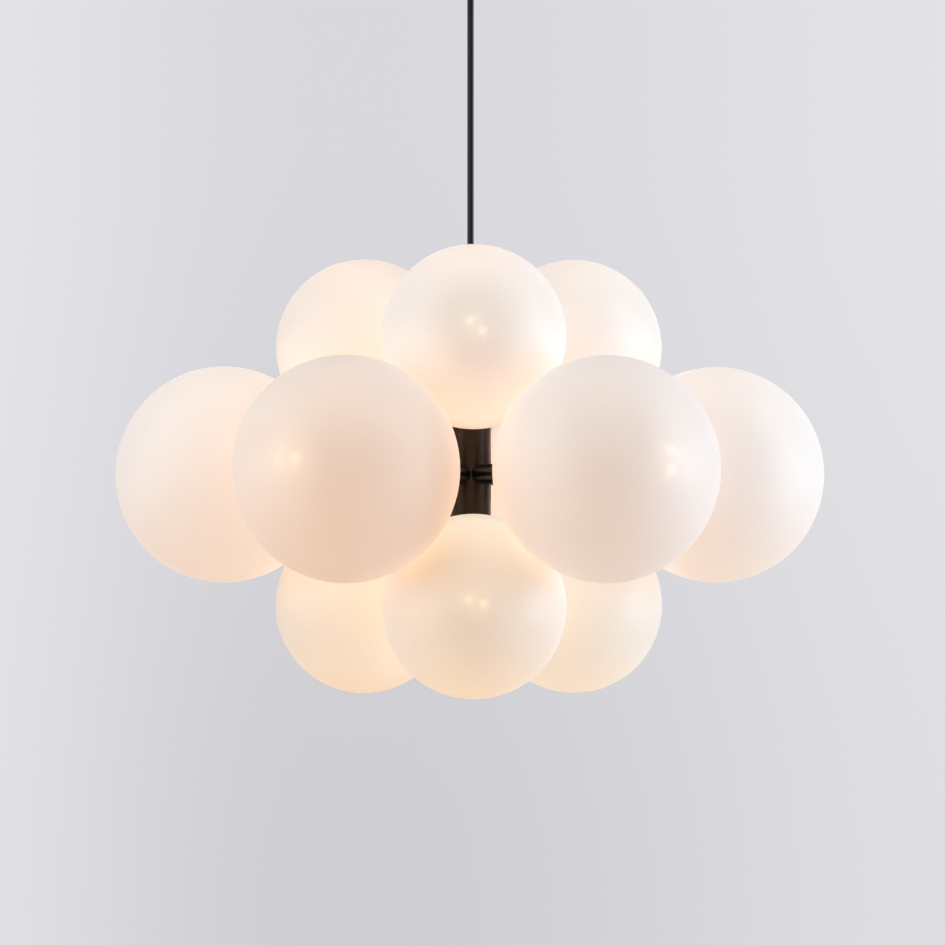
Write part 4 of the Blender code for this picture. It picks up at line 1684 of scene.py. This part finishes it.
@dataclass
class Studio:
    """The pale floor, the soft light and the camera."""

    centre: Vector = field(default_factory=lambda: Vector((0, 0, MIDDLE.height)))
    sensor_width: float = 36.0
    frame_pixels: float = 945.0
    focal_pixels: float = 3760.0
    distance: float = 3.485
    azimuth: float = math.radians(-1.45)
    elevation: float = math.radians(-1.42)
    aim_x: float = 470.5
    aim_y: float = 474.6
    farthest: float = 50.0
    floor_drop: float = 1.2
    floor_radius: float = 2.5
    floor_steps: int = 96
    floor_roughness: float = 0.8
    floor_colour: Colour = (0.86, 0.80, 0.74)
    floor_cloud: Colour = (0.89, 0.83, 0.77)
    floor_shade: Colour = (0.20, 0.20, 0.205)
    floor_paleness: Colour = (0.60, 0.60, 0.62)
    cloud_scale: float = 2.0
    cloud_ends: Numbers = (0.3, 0.7)
    # The wall is painted lighter towards both sides and towards the top: painted light on the backdrop.
    wall_middle_low: Colour = (0.615, 0.613, 0.648)
    wall_middle_high: Colour = (0.690, 0.688, 0.724)
    painted_lit_wall_side_low: Colour = (0.765, 0.762, 0.785)
    painted_lit_wall_side_high: Colour = (0.785, 0.783, 0.808)
    wall_left_ends: Numbers = (-0.015, -0.12)
    wall_right_ends: Numbers = (0.0, 0.16)
    wall_right_share: float = 0.8
    wall_height_ends: Numbers = (-0.09, 0.12)
    ambient: Colour = (0.030, 0.031, 0.033)
    boxes: tuple[SoftBox, ...] = (
        SoftBox("right", (2.8, -0.4, -0.4), 42.5, (0.70, 0.86, 1.0)),
        SoftBox("right_high", (2.2, -0.6, 1.3), 20.5, (0.90, 0.94, 0.95)),
        SoftBox("left", (-2.8, -0.4, -0.4), 13.5, (0.74, 0.88, 1.0)),
        SoftBox("left_high", (-2.2, -0.6, 1.3), 19.5, (0.74, 0.88, 1.0)),
        SoftBox("left_front", (-2.2, -2.2, -0.2), 19.5, (1.0, 0.93, 0.80)),
        SoftBox("top", (0.0, 0.0, 2.2), 17.5, (1.0, 0.93, 0.80)),
        SoftBox("front_high", (0.0, -2.6, 1.6), 12.5, (1.0, 0.98, 0.94)),
    )

    def camera(self) -> None:
        """Stand the camera where the photographer's stood."""
        data = bpy.data.cameras.new("camera")
        data.sensor_width = self.sensor_width
        data.lens = data.sensor_width * self.focal_pixels / self.frame_pixels
        data.shift_x = (self.frame_pixels / 2 - self.aim_x) / self.frame_pixels
        data.shift_y = (self.aim_y - self.frame_pixels / 2) / self.frame_pixels
        data.clip_end = self.farthest
        made = bpy.data.objects.new("camera", data)
        bpy.context.scene.collection.objects.link(made)
        level = self.distance * math.cos(self.elevation)
        height = self.distance * math.sin(self.elevation)
        offset = Vector((level * math.sin(self.azimuth), -level * math.cos(self.azimuth), height))
        made.location = self.centre + offset
        made.rotation_euler = (-offset).to_track_quat("-Z", "Y").to_euler()
        bpy.context.scene.camera = made

    def floor(self) -> None:
        """Lay a plain pale floor well below the lamp, which a camera beneath it sees through."""
        surface = Surface("pale_floor")
        cloud = surface.ramp(surface.noise(surface.place, self.cloud_scale), self.cloud_ends)
        lit = surface.mix(cloud, self.floor_colour, self.floor_cloud)
        seen = surface.add("ShaderNodeLightPath").outputs["Is Camera Ray"]
        surface.put("Base Color", surface.mix(seen, lit, self.floor_shade))
        surface.put("Roughness", self.floor_roughness)
        surface.put("Specular IOR Level", 0.0)
        surface.put("Emission Color", surface.mix(seen, (0.0, 0.0, 0.0), self.floor_paleness))
        surface.put("Emission Strength", 1.0)
        beneath = surface.add("ShaderNodeNewGeometry").outputs["Backfacing"]
        surface.put("Alpha", surface.math("SUBTRACT", 1.0, beneath))
        bm = bmesh.new()
        bmesh.ops.create_circle(bm, cap_ends=True, segments=self.floor_steps, radius=self.floor_radius)
        drop = Matrix.Translation((0, 0, self.centre.z - self.floor_drop))
        disc = as_object("floor", bm, surface.material, drop)

    def world(self) -> None:
        """Make a pale grey wall for the camera and for reflections, painted lighter towards its sides and
        its top as painted light, and a dimmer even light.
        """
        world = bpy.data.worlds.new("studio")
        bpy.context.scene.world = world
        world.use_nodes = True
        graph = Graph(world.node_tree)
        graph.tree.nodes.clear()
        rays = graph.add("ShaderNodeLightPath").outputs
        sharp = (rays["Is Camera Ray"], rays["Is Glossy Ray"], rays["Is Transmission Ray"])
        place = graph.split(graph.add("ShaderNodeTexCoord").outputs["Generated"])
        left = graph.ramp(place[0], self.wall_left_ends)
        right = graph.ramp(place[0], self.wall_right_ends, (0.0, self.wall_right_share))
        height = graph.ramp(place[2], self.wall_height_ends)
        middle = graph.mix(height, self.wall_middle_low, self.wall_middle_high)
        painted_lit_sides = graph.mix(height, self.painted_lit_wall_side_low, self.painted_lit_wall_side_high)
        # Painted light: the wall's sides are lighter than its middle.
        wall = graph.mix(graph.math("MAXIMUM", left, right), middle, painted_lit_sides)
        colour = graph.mix(graph.math("MAXIMUM", *sharp), self.ambient, wall)
        background = graph.add("ShaderNodeBackground", {"Color": colour, "Strength": 1.0})
        graph.add("ShaderNodeOutputWorld", {0: background.outputs[0]})

    def build(self) -> None:
        """Make the studio."""
        self.camera()
        self.floor()
        self.world()
        for box in self.boxes:
            box.build(self.centre)
        bpy.context.scene.view_settings.view_transform = "Standard"


def main() -> None:
    """Build the studio, then each sub-assembly in order."""
    logging.basicConfig(level=logging.INFO, format="%(message)s")
    Studio().build()
    finishes = FinishSet()
    HangingCable(finishes).build()
    HubColumn(finishes).build()
    CableGrip(finishes).build()
    for tier in TIERS:
        for number in tier.numbers():
            HollowArm(tier, number, finishes).build()
            OpalGlobe(tier, number, finishes).build()
    CeilingFitting(finishes).build()
    HiddenPieces(finishes).build()


if __name__ == "__main__":
    main()
